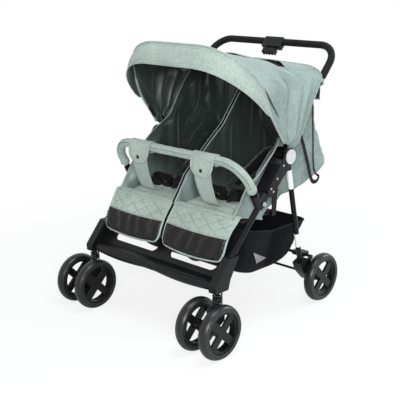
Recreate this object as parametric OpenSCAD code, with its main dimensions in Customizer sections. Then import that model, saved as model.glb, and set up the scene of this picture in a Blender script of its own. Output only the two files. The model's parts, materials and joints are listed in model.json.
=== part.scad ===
// Side by side double stroller: folding tube frame, twin swivel casters, two reclining seats, one wide canopy.
// Frame: X across, -Y to the front, +Z up; origin on the ground under the middle of the outline.

/* [Wheels] */
// Outer diameter of all six wheels
wheel_d = 194; // [188:1:196]
// Width of a tyre
tyre_w = 36; // [33:1:37]
// Distance between the two caster stems
front_track = 646; // [644:1:650]
// Gap between the two wheels of a caster
twin_gap = 70; // [66:1:76]
// Distance from front axle to rear axle
wheelbase = 660; // [656:1:664]
// Distance between the middles of the rear wheels
rear_track = 658; // [656:1:664]
// Distance of the caster stem behind its axle
trail = 46; // [43:1:49]

/* [Suspension] */
// Outer diameter of a caster spring
spring_d = 36; // [32:1:38]
// Diameter of the spring wire
wire_d = 5; // [4:0.5:5.5]
// Number of curls in a spring
spring_curls = 5; // [4:1:6]
// Upward travel of a caster
caster_travel = 12; // [8:1:13]

/* [Frame] */
// Height of the folding hinge above the ground
hinge_z = 629; // [626:1:632]
// Distance of the folding hinge behind the front axle
hinge_y = 414; // [412:1:416]
// Diameter of the front leg tubes
leg_d = 22; // [20:1:23]
// Diameter of the rear leg tubes
rear_leg_d = 20; // [18:1:20]
// Height of the underside of the feet
foot_z = 216; // [215:1:219]

/* [Handle] */
// Distance from hinge to handle bar
handle_len = 496; // [490:1:504]
// Lean of the handle to the rear in degrees
handle_lean = 42.5; // [42:0.5:43.5]
// Diameter of the handle tube
handle_d = 21; // [20:0.5:21]
// Diameter of the foam grip
foam_d = 28; // [26:1:28]
// Squeeze travel of the fold trigger
trigger_travel = 7; // [5:0.5:7]

/* [Bumper] */
// Length of the bumper arms from the sockets
bumper_len = 184; // [180:1:186]
// Diameter of the padded bumper cover
bumper_d = 36; // [33:1:37]

/* [Seats] */
// Width of one seat cushion
seat_w = 260; // [254:1:262]
// Depth of a seat cushion
seat_depth = 182; // [176:1:184]
// Thickness of a seat cushion
seat_t = 38; // [34:1:38]
// Length of a backrest
back_len = 322; // [314:1:324]
// Lean of the backrests to the rear in degrees
back_lean = 66; // [65:1:67]
// Length of a leg rest
rest_len = 170; // [162:1:172]

/* [Canopy] */
// Height of the front bow above its pivots
bow_len = 436; // [430:1:440]
// Lean of the front bow to the front in degrees
bow_lean = 36.5; // [36:0.5:37]
// Height of the visor edge above its tips
visor_len = 231; // [228:1:235]

/* [Hidden] */
$fn = 64;
run = 0.05;
gap = 0.3;
cloth = 3;
thin = 0.5;

wheel_r = wheel_d / 2;
rim_r = wheel_r - 22;
rim_in = rim_r - 9;
rim_face = tyre_w / 2 - 4;
hub_r = 19;
axle_r = 5;
axle_end = 8;
front_x = front_track / 2;
twin_x = (twin_gap + tyre_w) / 2;
rear_x = rear_track / 2;

fork_w = 40;
fork_low = wheel_r + 14;
fork_top = wheel_r + 55;
stem_r = 8;
stem_boss_r = 18;
stem_floor = fork_low + 6;
stem_in = 28;
cup_t = 4;
spring_low = fork_top + gap + cup_t;
spring_r = (spring_d - wire_d) / 2;
spring_pitch = (foot_z - spring_low - wire_d - 2 * gap) / spring_curls;

leg_x = front_x;
leg_lean = 44.3;
leg_from = 62;
leg_len = (hinge_z - foot_z - 66) / cos(leg_lean);
foot_w = 34;
foot_x = leg_x - foot_w / 2;

hinge_x0 = 288;
hinge_x1 = 342;
hinge_r = 31;
pin_r = 5;
cap_t = 4;
handle_x = 302;
knuckle_x = 327;
knuckle_w = 20;
slot_x0 = 291.2;
slot_x1 = 337.3;
slot_r = 60;
arm_len = 168;
collar_len = 54;

rear_low = [283, wheelbase - 77, wheel_r + 53];
bracket_x0 = 266;
bracket_x1 = rear_x - tyre_w / 2 - 4;
bracket_x = (bracket_x0 + bracket_x1) / 2;
brake_y = wheelbase + 30;
brake_z = wheel_r + 60;
brake_r = 6;
brake_pin_y = wheelbase - 10;
brake_pin_z = wheel_r + 43;
brake_pin_r = 4;
brake_x = bracket_x0 - 2;

foam_at = 352;
handle_bend = 80;
plate_w = 92;
trigger_w = 60;

bumper_lean = -29.2;
bumper_x = leg_x + 2;
bumper_bend = 95;
bumper_core_r = 9;
bumper_y = hinge_y - 159;
bumper_z = hinge_z - 153;
cover_at = 70;
button_r = 8;
button_at = 206;
button_x = leg_x + 18;
button_t = 4;
button_out = 2.8;
button_travel = 4;

rail_x = 266;
rail_r = 8;
rail_z = 412;
cross_y = hinge_y - (hinge_z - rail_z) * tan(leg_lean);
rear_cross_y = 396;
seat_front = 174;
board_t = 3;
seat_z = 422;
seat_x = 12;
wall_in = 3;
wall_out = seat_x + seat_w + 9;
wall_t = 2.5;
hanger_x = wall_out + wall_t + gap;
back_t = 32;
back_from = 20;
back_off = 40;
back_ring_r = 13;
back_ring_w = 14;
rest_top_y = seat_front + 0.01 * seat_depth - 0.75 - gap;
rest_top_z = seat_z + seat_t / 2 + 1;
rest_lean = 33;
rest_x = 9;
rest_w = 290;
rest_t = 20;

bow_at = 48;
bow_y = hinge_y + bow_at * sin(handle_lean);
bow_z = hinge_z + bow_at * cos(handle_lean);
bow_x = 318.5;
bow_r = 3.5;
bow_bend = 213;
boss_r = 8;
clip_pin_r = 4;
hood_x = bow_x + bow_r + gap + cloth;
hood_len = bow_len + 2 * bow_r + gap + cloth;
hood_bend = bow_bend + bow_r + gap + cloth;
hood_rear_x = 289;
hood_rear_len = 342;
hood_rear_bend = 140;
hood_rear_lean = 37;
hood_low = 62;
hood_rear_low = 100;
visor_y = 301;
visor_z = 784;
visor_lean = 44.5;
visor_x = hood_x + 3;
visor_bend = 219;
visor_low = 150;

basket_x = 256;
strap_x = 161;
strap_w = 62;
strap_t = 5;
strap_y = 202;
strap_base = seat_z + seat_t + 2 * run;
lap_len = 92;
lap_w = 25;
lap_t = 3;
lap_turn = 24;
buckle_w = 38;
buckle_d = 34;
buckle_t = 14;
lap_at = buckle_w / 2 + gap + (lap_len * cos(lap_turn) + lap_w * sin(lap_turn)) / 2;

plate_up = 15;
plate_back = 14;
bar_y = hinge_y + handle_len * sin(handle_lean);
plate_y = hinge_y + (handle_len + plate_up) * sin(handle_lean) + plate_back * cos(handle_lean);
mid_y = (max(bar_y + foam_d / 2, plate_y) - wheel_r) / 2;

// Moves from the front axle line to the middle of the outline
module placed() {
  translate([0, -mid_y, 0])
    children();
}

// Both sides of the frame
module sides() {
  children();
  mirror([1, 0, 0])
    children();
}

// Side profile drawn in Y and Z, w wide along X
module profile(w) {
  rotate([90, 0, 90])
    linear_extrude(height = w, center = true)
      children();
}

// Round bar along X
module bar_x(r, h) {
  rotate([0, 90, 0])
    cylinder(r = r, h = h, center = true);
}

// Round bar from one point to another
module rod(p, q, r) {
  d = q - p;
  translate(p)
    rotate([0, acos(d.z / norm(d)), atan2(d.y, d.x)])
      cylinder(r = r, h = norm(d));
}

// Plane through X with its second axis leaning back from the upright
module leaning(lean) {
  rotate([90 - lean, 0, 0])
    children();
}

// Leaning plane at the hinge, along the front legs
module along_leg() {
  translate([0, hinge_y, hinge_z])
    leaning(leg_lean)
      children();
}

// Leaning plane at the hinge, along the handle
module along_handle() {
  translate([0, hinge_y, hinge_z])
    leaning(handle_lean)
      children();
}

// Leaning plane at the bumper sockets, along the bumper arms
module along_bumper() {
  translate([0, bumper_y, bumper_z])
    leaning(bumper_lean)
      children();
}

// Leaning plane at the pivots of the canopy bow, along the bow
module along_bow() {
  translate([0, bow_y, bow_z])
    leaning(-bow_lean)
      children();
}

// Round bar along the second axis of a leaning plane
module arm_bar(x, from, len, r) {
  translate([x, from, 0])
    rotate([-90, 0, 0])
      cylinder(r = r, h = len);
}

// Bent bar: two arms hw either side, bends of radius c, top at len, arms starting at from
module bail(hw, len, c, r, from) {
  sides() {
    arm_bar(hw, from, len - c - from, r);
    translate([hw - c, len - c, 0])
      rotate_extrude(angle = 90)
        translate([c, 0])
          circle(r = r);
  }
  translate([0, len, 0])
    bar_x(r, 2 * (hw - c));
}

// Round-cornered arch outline, hw half wide and len high
module arch(hw, len, c, low) {
  intersection() {
    union() {
      translate([-hw, low])
        square([2 * hw, len - c - low]);
      translate([-hw + c, low])
        square([2 * (hw - c), len - low]);
      for (s = [-1, 1])
        translate([s * (hw - c), len - c])
          circle(r = c);
    }
    translate([-hw, low])
      square([2 * hw, len - low]);
  }
}

// Padded cushion: squared outline, crowned faces, drawn-in sides and sewn channels
pad_u = 14;
pad_v = 14;
pad_rim = 2;

function pad_crown(a) = sqrt(max(0, 1 - pow(abs(a), 5)));
function pad_seam(a, c) = exp(-pow((a - c) / 0.07, 2));
function pad_height(u, v, channels) =
  pad_crown(u) * pad_crown(v) * (1 - 0.22 * max([for (c = channels) pad_seam(v, c)]));
function pad_point(i, j, w, d, t, channels, top) =
  let (u = 2 * i / pad_u - 1,
    v = 2 * j / pad_v - 1,
    x = w / 2 * u * sqrt(1 - 0.1 * v * v) * (1 - 0.02 * (1 - v * v)),
    y = d / 2 * v * sqrt(1 - 0.1 * u * u) * (1 - 0.02 * (1 - u * u)),
    h = pad_rim + (t / 2 - pad_rim) * pad_height(u, v, channels))
  [x, y, top ? h : -h];
function pad_id(i, j) = i * (pad_v + 1) + j;

module pad(w, d, t, channels) {
  n = (pad_u + 1) * (pad_v + 1);
  grid = [for (i = [0 : pad_u - 1]) for (j = [0 : pad_v - 1]) [i, j]];
  rim_ids = concat(
    [for (i = [0 : pad_u]) pad_id(i, 0)],
    [for (j = [1 : pad_v]) pad_id(pad_u, j)],
    [for (i = [pad_u - 1 : -1 : 0]) pad_id(i, pad_v)],
    [for (j = [pad_v - 1 : -1 : 1]) pad_id(0, j)]);
  m = len(rim_ids);
  polyhedron(
    points = concat(
      [for (i = [0 : pad_u]) for (j = [0 : pad_v]) pad_point(i, j, w, d, t, channels, true)],
      [for (i = [0 : pad_u]) for (j = [0 : pad_v]) pad_point(i, j, w, d, t, channels, false)]),
    faces = concat(
      [for (g = grid) [pad_id(g[0], g[1]), pad_id(g[0] + 1, g[1] + 1), pad_id(g[0] + 1, g[1])]],
      [for (g = grid) [pad_id(g[0], g[1]), pad_id(g[0], g[1] + 1), pad_id(g[0] + 1, g[1] + 1)]],
      [for (g = grid) [n + pad_id(g[0], g[1]), n + pad_id(g[0] + 1, g[1]), n + pad_id(g[0] + 1, g[1] + 1)]],
      [for (g = grid) [n + pad_id(g[0], g[1]), n + pad_id(g[0] + 1, g[1] + 1), n + pad_id(g[0], g[1] + 1)]],
      [for (k = [0 : m - 1]) [rim_ids[k], rim_ids[(k + 1) % m], n + rim_ids[(k + 1) % m]]],
      [for (k = [0 : m - 1]) [rim_ids[k], n + rim_ids[(k + 1) % m], n + rim_ids[k]]]));
}

// Tyre around Z
module tyre() {
  crown = 26;
  rotate_extrude()
    intersection() {
      translate([wheel_r - crown, 0])
        circle(r = crown);
      translate([rim_r, -tyre_w / 2])
        square([wheel_r - rim_r, tyre_w]);
    }
}

// Rim with four flat arms; its closed hub face looks along +Z
module rim() {
  arm_w = 28;
  arm_t = 9;
  difference() {
    union() {
      rotate_extrude()
        translate([rim_in, -rim_face])
          square([rim_r - rim_in, 2 * rim_face]);
      for (a = [45, 135])
        rotate([0, 0, a])
          translate([-rim_in - 2, -arm_w / 2, rim_face - arm_t - 2])
            cube([2 * rim_in + 4, arm_w, arm_t]);
      translate([0, 0, -tyre_w / 2])
        cylinder(r = hub_r, h = tyre_w / 2 + rim_face - arm_t / 2 - 2);
    }
    translate([0, 0, -tyre_w / 2 - 1])
      cylinder(r = axle_r + run, h = tyre_w / 2 + axle_end + 2);
  }
}

module front_wheel_at(side, out) {
  placed()
    translate([side * (front_x + out * twin_x), 0, wheel_r])
      rotate([0, side * out * 90, 0])
        children();
}

module rear_wheel_at(side) {
  placed()
    translate([side * rear_x, wheelbase, wheel_r])
      rotate([0, side * 90, 0])
        children();
}

module plastic() {
  color("#26272a")
    placed()
      children();
}

module metal() {
  color("#17181a")
    placed()
      children();
}

module steel() {
  color("#b9bdc2")
    placed()
      children();
}

module cloth_light() {
  color("#a9c1b9")
    placed()
      children();
}

module cloth_dark() {
  color("#1f2224")
    placed()
      children();
}

// Swivel fork between two caster wheels
module fork(side) {
  plastic()
    translate([side * front_x, 0, 0])
      difference() {
        union() {
          profile(fork_w)
            polygon([[-15, wheel_r - 10], [13, wheel_r - 12], [trail + 16, fork_low],
              [trail + 16, fork_top - 8], [trail - 16, fork_top - 2], [-15, wheel_r + 12]]);
          translate([0, 0, wheel_r])
            bar_x(17, twin_gap - 2);
          translate([0, trail, fork_low])
            cylinder(r = stem_boss_r, h = fork_top - fork_low);
        }
        translate([0, 0, wheel_r])
          bar_x(axle_r, twin_gap);
        translate([0, trail, stem_floor])
          cylinder(r = stem_r + run, h = fork_top - fork_low);
      }
}

module front_axle(side) {
  steel()
    translate([side * front_x, 0, wheel_r])
      bar_x(axle_r, 2 * (twin_x + axle_end));
}

// Sliding stem with the lower spring cup
module stem(side) {
  steel()
    translate([side * front_x, trail, 0]) {
      translate([0, 0, stem_floor + gap])
        cylinder(r = stem_r, h = foot_z + stem_in - stem_floor - gap);
      translate([0, 0, fork_top + gap])
        cylinder(r = spring_d / 2 + 1, h = cup_t);
    }
}

rings_per_curl = 8;
tube_sides = 6;
rings = spring_curls * rings_per_curl;

function spring_point(i, j) =
  let (a = 360 * i / rings_per_curl,
    b = 360 * j / tube_sides,
    rr = spring_r + wire_d / 2 * cos(b))
  [rr * cos(a), rr * sin(a),
    spring_low + gap + wire_d / 2 + spring_pitch * i / rings_per_curl + wire_d / 2 * sin(b)];

// Coil spring as one unbroken helix
module spring(side) {
  last = rings * tube_sides;
  metal()
    translate([side * front_x, trail, 0])
      polyhedron(
        points = [for (i = [0 : rings]) for (j = [0 : tube_sides - 1]) spring_point(i, j)],
        faces = concat(
          [[for (j = [0 : tube_sides - 1]) j]],
          [[for (j = [0 : tube_sides - 1]) last + tube_sides - 1 - j]],
          [for (i = [0 : rings - 1]) for (j = [0 : tube_sides - 1])
            [i * tube_sides + j, (i + 1) * tube_sides + j, (i + 1) * tube_sides + (j + 1) % tube_sides]],
          [for (i = [0 : rings - 1]) for (j = [0 : tube_sides - 1])
            [i * tube_sides + j, (i + 1) * tube_sides + (j + 1) % tube_sides,
              i * tube_sides + (j + 1) % tube_sides]]));
}

// Least gap between one curl and the next
echo(spring_gap = min([for (i = [0 : rings_per_curl]) for (j = [0 : tube_sides - 1])
  for (k = [0 : tube_sides - 1]) norm(spring_point(i + rings_per_curl, j) - spring_point(i, k))]));

// Straight front leg tubes from the feet up into the hinge housings
module front_legs() {
  metal()
    sides()
      along_leg()
        arm_bar(leg_x, -leg_len, leg_len - leg_from, leg_d / 2);
}

// Hinge arms: two cheeks around the hinge and a solid arm around the leg tube
module hinge_housings() {
  mid = (hinge_x0 + hinge_x1) / 2;
  plastic()
    sides()
      difference() {
        along_leg()
          translate([mid, 0, 0]) {
            bar_x(hinge_r, hinge_x1 - hinge_x0);
            profile(hinge_x1 - hinge_x0)
              polygon([[4, hinge_r - 1], [-70, 25], [-140, 21], [-arm_len + 6, 17], [-arm_len, 10],
                [-arm_len, -14], [-arm_len + 6, -19], [-80, -21], [0, -hinge_r + 1]]);
          }
        translate([(slot_x0 + slot_x1) / 2, hinge_y, hinge_z])
          bar_x(slot_r, slot_x1 - slot_x0);
        along_leg()
          arm_bar(leg_x, -arm_len - 1, arm_len, leg_d / 2);
        translate([mid, hinge_y, hinge_z])
          bar_x(pin_r, hinge_x1 - hinge_x0 + 2);
      }
}

// Hinge pins with round caps
module hinge_caps() {
  color("#c9ccd0")
    placed()
      sides()
        translate([0, hinge_y, hinge_z]) {
          translate([hinge_x1 + cap_t / 2, 0, 0])
            bar_x(hinge_r - 4, cap_t);
          translate([(hinge_x0 + hinge_x1 + 1) / 2, 0, 0])
            bar_x(pin_r, hinge_x1 + 1 - hinge_x0);
        }
}

// Collars on the front legs with the bumper sockets and button pockets
module leg_collars() {
  plastic()
    sides()
      difference() {
        union() {
          along_leg()
            arm_bar(leg_x, -arm_len - 1 - collar_len, collar_len, leg_d / 2 + 6);
          along_bumper()
            arm_bar(bumper_x, -8, 56, bumper_core_r + 6);
          along_leg()
            translate([button_x - 5, -button_at, 0])
              bar_x(button_r + 4, 10);
        }
        along_leg()
          arm_bar(leg_x, -arm_len - 80, 120, leg_d / 2);
        along_bumper()
          arm_bar(bumper_x, 10, 80, bumper_core_r + 2 * run);
        along_leg()
          translate([button_x, -button_at, 0])
            bar_x(button_r + 2 * run, 2 * (button_t - button_out + button_travel + gap));
      }
}

module bumper_button(side) {
  color("#c3c6c9")
    placed()
      along_leg()
        translate([side * (button_x + button_out - button_t / 2), -button_at, 0])
          bar_x(button_r, button_t);
}

// Round rivet heads on the outer cheeks of the hinge arms
module frame_rivets() {
  spots = [[-46, 10], [-100, 6], [-146, 9], [-146, -9]];
  steel()
    sides()
      along_leg()
        for (p = spots)
          translate([hinge_x1 + 0.8, p[0], p[1]])
            bar_x(4, 1.6);
}

// Moulded feet that hold the legs and the caster stems
module leg_feet() {
  plastic()
    sides()
      difference() {
        translate([leg_x, 0, 0])
          profile(foot_w)
            polygon([[20, foot_z], [84, foot_z], [94, foot_z + 34], [140, foot_z + 110],
              [92, foot_z + 110], [18, foot_z + 24]]);
        along_leg()
          arm_bar(leg_x, -leg_len, leg_len, leg_d / 2);
        translate([leg_x, trail, foot_z - 1])
          cylinder(r = stem_r + 2 * run, h = stem_in + caster_travel + 3);
      }
}

// Moulded footrest: thick tread and a back frame with two windows
module footrest() {
  back_low = 516;
  back_high = 404;
  window_low = 486;
  window_high = 422;
  back_under = 34;
  plastic()
    difference() {
      union() {
        profile(2 * (foot_x - gap))
          polygon([[36, foot_z], [44, foot_z - 1], [92, foot_z + 4], [104, foot_z + 14], [92, foot_z + 30],
            [44, foot_z + 30], [36, foot_z + 23]]);
        along_leg()
          translate([0, -(back_low + back_high) / 2, -back_under])
            cube([2 * foot_x, back_low - back_high, 12], center = true);
      }
      along_leg()
        sides()
          translate([148, -(window_low + window_high) / 2, -back_under])
            cube([232, window_low - window_high, 40], center = true);
    }
}

// Seat rails, cross tubes, hangers and the boards under the cushions
module seat_frame() {
  metal()
    difference() {
      union() {
        translate([0, cross_y, rail_z])
          bar_x(rail_r, 2 * (leg_x - leg_d / 2));
        translate([0, rear_cross_y, rail_z])
          bar_x(rail_r, 2 * hinge_x0);
        sides() {
          rod([rail_x, cross_y, rail_z], [rail_x, rear_cross_y, rail_z], rail_r);
          translate([seat_x, cross_y, seat_z - gap - board_t])
            cube([rail_x - seat_x, seat_front + seat_depth - cross_y, board_t]);
          translate([(hanger_x + hinge_x0) / 2, 0, 0])
            profile(hinge_x0 - hanger_x)
              polygon([[rear_cross_y - 12, rail_z - 10], [rear_cross_y + 12, rail_z - 10],
                [hinge_y + 14, hinge_z + 8], [hinge_y - 14, hinge_z + 8]]);
        }
      }
      translate([0, hinge_y, hinge_z])
        bar_x(pin_r, 2 * hinge_x1);
    }
}

module seat(side) {
  cloth_light()
    translate([side * (seat_x + seat_w / 2), seat_front + seat_depth / 2, seat_z + seat_t / 2])
      pad(seat_w, seat_depth, seat_t, [-0.4, 0.3]);
}

module legrest(side) {
  cloth_light()
    translate([side * (rest_x + rest_w / 2), rest_top_y, rest_top_z])
      leaning(rest_lean)
        translate([0, -rest_len / 2, 0])
          pad(rest_w, rest_len, rest_t, [0.1]);
}

// Backrest pad on two arms that turn on the rear cross tube
module back(side) {
  mid = seat_x + seat_w / 2;
  cloth_dark()
    difference() {
      translate([side * mid, rear_cross_y, rail_z])
        leaning(back_lean) {
          translate([0, back_from + back_len / 2, back_off])
            pad(seat_w - 6, back_len, back_t, [-0.5, 0, 0.5]);
          for (s = [-1, 1])
            translate([s * seat_w * 0.3, 0, 0]) {
              bar_x(back_ring_r, back_ring_w);
              translate([-back_ring_w / 2, 0, -5])
                cube([back_ring_w, 60, 10]);
              translate([-back_ring_w / 2, 42, -5])
                cube([back_ring_w, 18, back_off + 1]);
            }
        }
      translate([0, rear_cross_y, rail_z])
        bar_x(rail_r + run, 2 * hinge_x1);
    }
}

// Cloth shell of one seat: side walls and a back wall, open to the front
module shell(side) {
  width = wall_out + wall_t - wall_in;
  mid = (wall_out + wall_t + wall_in) / 2;
  cloth_light()
    difference() {
      translate([side * mid, 0, 0])
        profile(width)
          polygon([[236, 446], [333, 398], [378, 433], [517, 474], [632, 491], [731, 534], [740, 546],
            [710, 617], [662, 691], [656, 761], [656, 890], [628, 890], [604, 862], [588, 826], [440, 715]]);
      translate([side * mid, 0, 0])
        profile(width - 2 * wall_t)
          polygon([[200, 446], [333, 300], [470, 300], [470, 463], [517, 477], [631, 494], [729, 537],
            [736.5, 547], [707, 616], [659, 690], [653, 761], [653, 900], [440, 900]]);
    }
}

// Storage basket, open at the top
module basket() {
  cloth_dark()
    difference() {
      profile(2 * basket_x)
        polygon([[cross_y, 236], [325, 173], [499, 170], [590, 225], [655, 320], [510, 333], [429, 326],
          [269, 362], [cross_y + 1, rail_z - rail_r - gap]]);
      profile(2 * (basket_x - cloth))
        polygon([[cross_y + 3.5, 238], [326, 176.3], [498, 173.3], [587.5, 227.5], [651, 320], [651, 460],
          [cross_y + 8, 460]]);
    }
}

// Straps from the seat fronts around the bumper
module crotch_straps() {
  ring = bumper_d / 2 + gap;
  top_y = bumper_y + bumper_len * sin(bumper_lean);
  top_z = bumper_z + bumper_len * cos(bumper_lean);
  cloth_light()
    sides()
      translate([strap_x, 0, 0])
        difference() {
          union() {
            translate([0, top_y, top_z])
              bar_x(ring + strap_t, strap_w);
            profile(strap_w)
              polygon([[top_y - ring - strap_t, top_z], [top_y - ring - strap_t, top_z - 48],
                [strap_y - 12, strap_base], [strap_y + 40, strap_base], [strap_y + 40, strap_base + 4],
                [strap_y - 4, strap_base + 4], [top_y - ring + 1, top_z - 48], [top_y - ring + 1, top_z]]);
          }
          translate([0, top_y, top_z])
            bar_x(ring, strap_w + 2);
        }
}

// Press studs on the crotch straps
module strap_snaps() {
  top_y = bumper_y + bumper_len * sin(bumper_lean);
  top_z = bumper_z + bumper_len * cos(bumper_lean);
  cloth_dark()
    sides()
      translate([strap_x, top_y - bumper_d / 2 - gap - strap_t, top_z - 38])
        rotate([90, 0, 0])
          cylinder(r = 6, h = 2);
}

// Lap belts on the seat cushions
module lap_straps() {
  cloth_dark()
    sides()
      for (s = [-1, 1])
        translate([seat_x + seat_w / 2 + s * lap_at, seat_front + 132, seat_z + seat_t + lap_t / 2])
          rotate([0, 0, s * lap_turn])
            cube([lap_len, lap_w, lap_t], center = true);
}

module buckles() {
  plastic()
    sides()
      translate([seat_x + seat_w / 2, seat_front + 106, seat_z + seat_t + gap + buckle_t / 2])
        cube([buckle_w, buckle_d, buckle_t], center = true);
}

// Slack recline straps that hang in a loop beside the seats
module recline_straps() {
  band = 20;
  cloth_dark()
    sides()
      translate([wall_out + wall_t + 1 + gap, 0, 0])
        profile(2) {
          translate([598, 520])
            square([band, 246]);
          difference() {
            translate([598 - 14, 520])
              circle(r = 34);
            translate([598 - 14, 520])
              circle(r = 14);
            translate([500, 520])
              square([200, 100]);
          }
          polygon([[550, 520], [550 + band, 520], [566, 690], [546, 690]]);
        }
}

// Handle with its hinge knuckles
module handle_tube() {
  metal()
    difference() {
      along_handle() {
        bail(handle_x, handle_len, handle_bend, handle_d / 2, 0);
        sides()
          translate([handle_x, 0, 0])
            bar_x(17, handle_d);
      }
      translate([0, hinge_y, hinge_z])
        bar_x(pin_r + run, 2 * hinge_x1);
    }
}

module handle_foam() {
  color("#2c2d2f")
    placed()
      along_handle()
        difference() {
          bail(handle_x, handle_len, handle_bend, foam_d / 2, foam_at);
          bail(handle_x, handle_len, handle_bend, handle_d / 2, foam_at - 1);
          translate([0, handle_len, 0])
            cube([plate_w, 100, 100], center = true);
        }
}

// Fold control housing under the middle of the handle
module fold_plate() {
  plastic()
    along_handle()
      difference() {
        translate([-plate_w / 2, handle_len - 32, -plate_back])
          cube([plate_w, 32 + plate_up, 2 * plate_back]);
        translate([0, handle_len, 0])
          bar_x(handle_d / 2, plate_w + 2);
        translate([-20.3, handle_len - 33, -8.3])
          cube([40.6, 21.5, 16.6]);
      }
}

// Squeeze trigger with finger grooves
module fold_trigger() {
  low = handle_len - 33 - trigger_travel;
  plastic()
    along_handle()
      difference() {
        union() {
          translate([-trigger_w / 2, low - 20, -11])
            cube([trigger_w, 20, 22]);
          translate([-20, low - 1, -8])
            cube([40, 21, 16]);
        }
        for (i = [-1.5 : 1 : 1.5])
          translate([i * 14, low - 22, 0])
            cylinder(r = 6, h = 60, center = true);
      }
}

// Clips on the handle that carry the canopy bow
module canopy_clips() {
  plastic()
    sides()
      along_handle()
        difference() {
          union() {
            arm_bar(handle_x, bow_at - 11, 22, handle_d / 2 + 1.5);
            translate([(handle_x + bow_x + 6) / 2, bow_at, 0])
              bar_x(clip_pin_r, bow_x + 6 - handle_x);
            translate([bow_x + bow_r + 1.2 + gap, bow_at, 0])
              bar_x(boss_r - 1, 2.4);
          }
          arm_bar(handle_x, bow_at - 30, 60, handle_d / 2);
        }
}

module canopy_bow() {
  metal()
    along_bow()
      difference() {
        union() {
          bail(bow_x, bow_len, bow_bend, bow_r, 4);
          sides()
            translate([bow_x, 0, 0])
              bar_x(boss_r, 2 * bow_r);
        }
        bar_x(clip_pin_r + run, 2 * bow_x + 40);
      }
}

// Thin arch-shaped sheet in a leaning plane
module sheet(lean, hw, len, c, low, off) {
  leaning(lean)
    translate([0, 0, off])
      linear_extrude(height = thin)
        arch(hw, len, c, low);
}

// Canopy cloth: hood over the bow and visor in front of it
module canopy_fabric() {
  open = 30;
  past = 1;
  cloth_light() {
    difference() {
      translate([0, bow_y, bow_z])
        hull() {
          sheet(-bow_lean, hood_x, hood_len, hood_bend, hood_low, 0);
          sheet(hood_rear_lean, hood_rear_x, hood_rear_len, hood_rear_bend, hood_rear_low, 0);
        }
      translate([0, bow_y, bow_z])
        hull() {
          sheet(-bow_lean, hood_x - cloth, hood_len - cloth, hood_bend - cloth, -open, past);
          sheet(hood_rear_lean, hood_rear_x - cloth, hood_rear_len - cloth, hood_rear_bend - cloth, -open, -past);
        }
    }
    difference() {
      hull() {
        translate([0, bow_y, bow_z])
          sheet(-bow_lean, hood_x, hood_len, hood_bend, visor_low, 0);
        translate([0, visor_y, visor_z])
          sheet(-visor_lean, visor_x, visor_len, visor_bend, 0, 0);
      }
      hull() {
        translate([0, bow_y, bow_z])
          sheet(-bow_lean, hood_x - cloth, hood_len - cloth, hood_bend - cloth, visor_low - open, -past);
        translate([0, visor_y, visor_z])
          sheet(-visor_lean, visor_x - cloth, visor_len - cloth, visor_bend - cloth, -open, past);
      }
    }
  }
}

module bumper_bar() {
  metal()
    along_bumper()
      bail(bumper_x, bumper_len, bumper_bend, bumper_core_r, 10 + gap);
}

module bumper_cover() {
  cloth_light()
    along_bumper()
      difference() {
        bail(bumper_x, bumper_len, bumper_bend, bumper_d / 2, cover_at);
        bail(bumper_x, bumper_len, bumper_bend, bumper_core_r, cover_at - 1);
      }
}

// Rear legs that lean in towards the axle
module rear_legs() {
  metal()
    sides()
      difference() {
        union() {
          rod([knuckle_x, hinge_y, hinge_z], rear_low, rear_leg_d / 2);
          translate([knuckle_x, hinge_y, hinge_z])
            bar_x(15, knuckle_w);
        }
        translate([0, hinge_y, hinge_z])
          bar_x(pin_r + run, 2 * hinge_x1);
        translate([knuckle_x + knuckle_w / 2 + 5, hinge_y, hinge_z])
          bar_x(40, 10);
        translate([knuckle_x - knuckle_w / 2 - 5, hinge_y, hinge_z])
          bar_x(40, 10);
      }
}

// Wheel brackets at the lower ends of the rear legs
module rear_brackets() {
  plastic()
    sides()
      difference() {
        union() {
          translate([bracket_x, 0, 0])
            profile(bracket_x1 - bracket_x0)
              polygon([[wheelbase - 109, wheel_r + 75], [wheelbase - 68, wheel_r + 90], [wheelbase - 12, wheel_r + 59],
                [wheelbase + 4, wheel_r + 43], [wheelbase + 12, wheel_r + 15], [wheelbase + 12, wheel_r - 13],
                [wheelbase - 20, wheel_r - 21], [wheelbase - 48, wheel_r - 5], [wheelbase - 92, wheel_r + 39]]);
          translate([bracket_x, wheelbase, wheel_r])
            bar_x(17, bracket_x1 - bracket_x0);
        }
        rod([knuckle_x, hinge_y, hinge_z], rear_low, rear_leg_d / 2);
        translate([0, wheelbase, wheel_r])
          bar_x(axle_r, 2 * rear_x);
        translate([bracket_x0, brake_pin_y, brake_pin_z])
          bar_x(brake_pin_r + run, 52);
      }
}

module rear_axle() {
  steel()
    translate([0, wheelbase, wheel_r])
      bar_x(axle_r, 2 * (rear_x + axle_end));
}

// Point on the right rear leg, t of the way down
function leg_point(t) = [knuckle_x, hinge_y, hinge_z] + t * (rear_low - [knuckle_x, hinge_y, hinge_z]);

// Pale bands around the rear legs
module leg_bands() {
  color("#e4e6e8")
    placed()
      sides()
        difference() {
          union() {
            rod(leg_point(0.11), leg_point(0.27), rear_leg_d / 2 + 0.6);
            rod(leg_point(0.68), leg_point(0.8), rear_leg_d / 2 + 0.6);
          }
          rod(leg_point(0), leg_point(1), rear_leg_d / 2 + run);
        }
}

// Rivet heads on the inner faces of the wheel brackets
module rear_rivets() {
  steel()
    sides()
      translate([bracket_x0 - 0.8, wheelbase - 38, wheel_r + 27])
        bar_x(4, 1.6);
}

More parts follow.
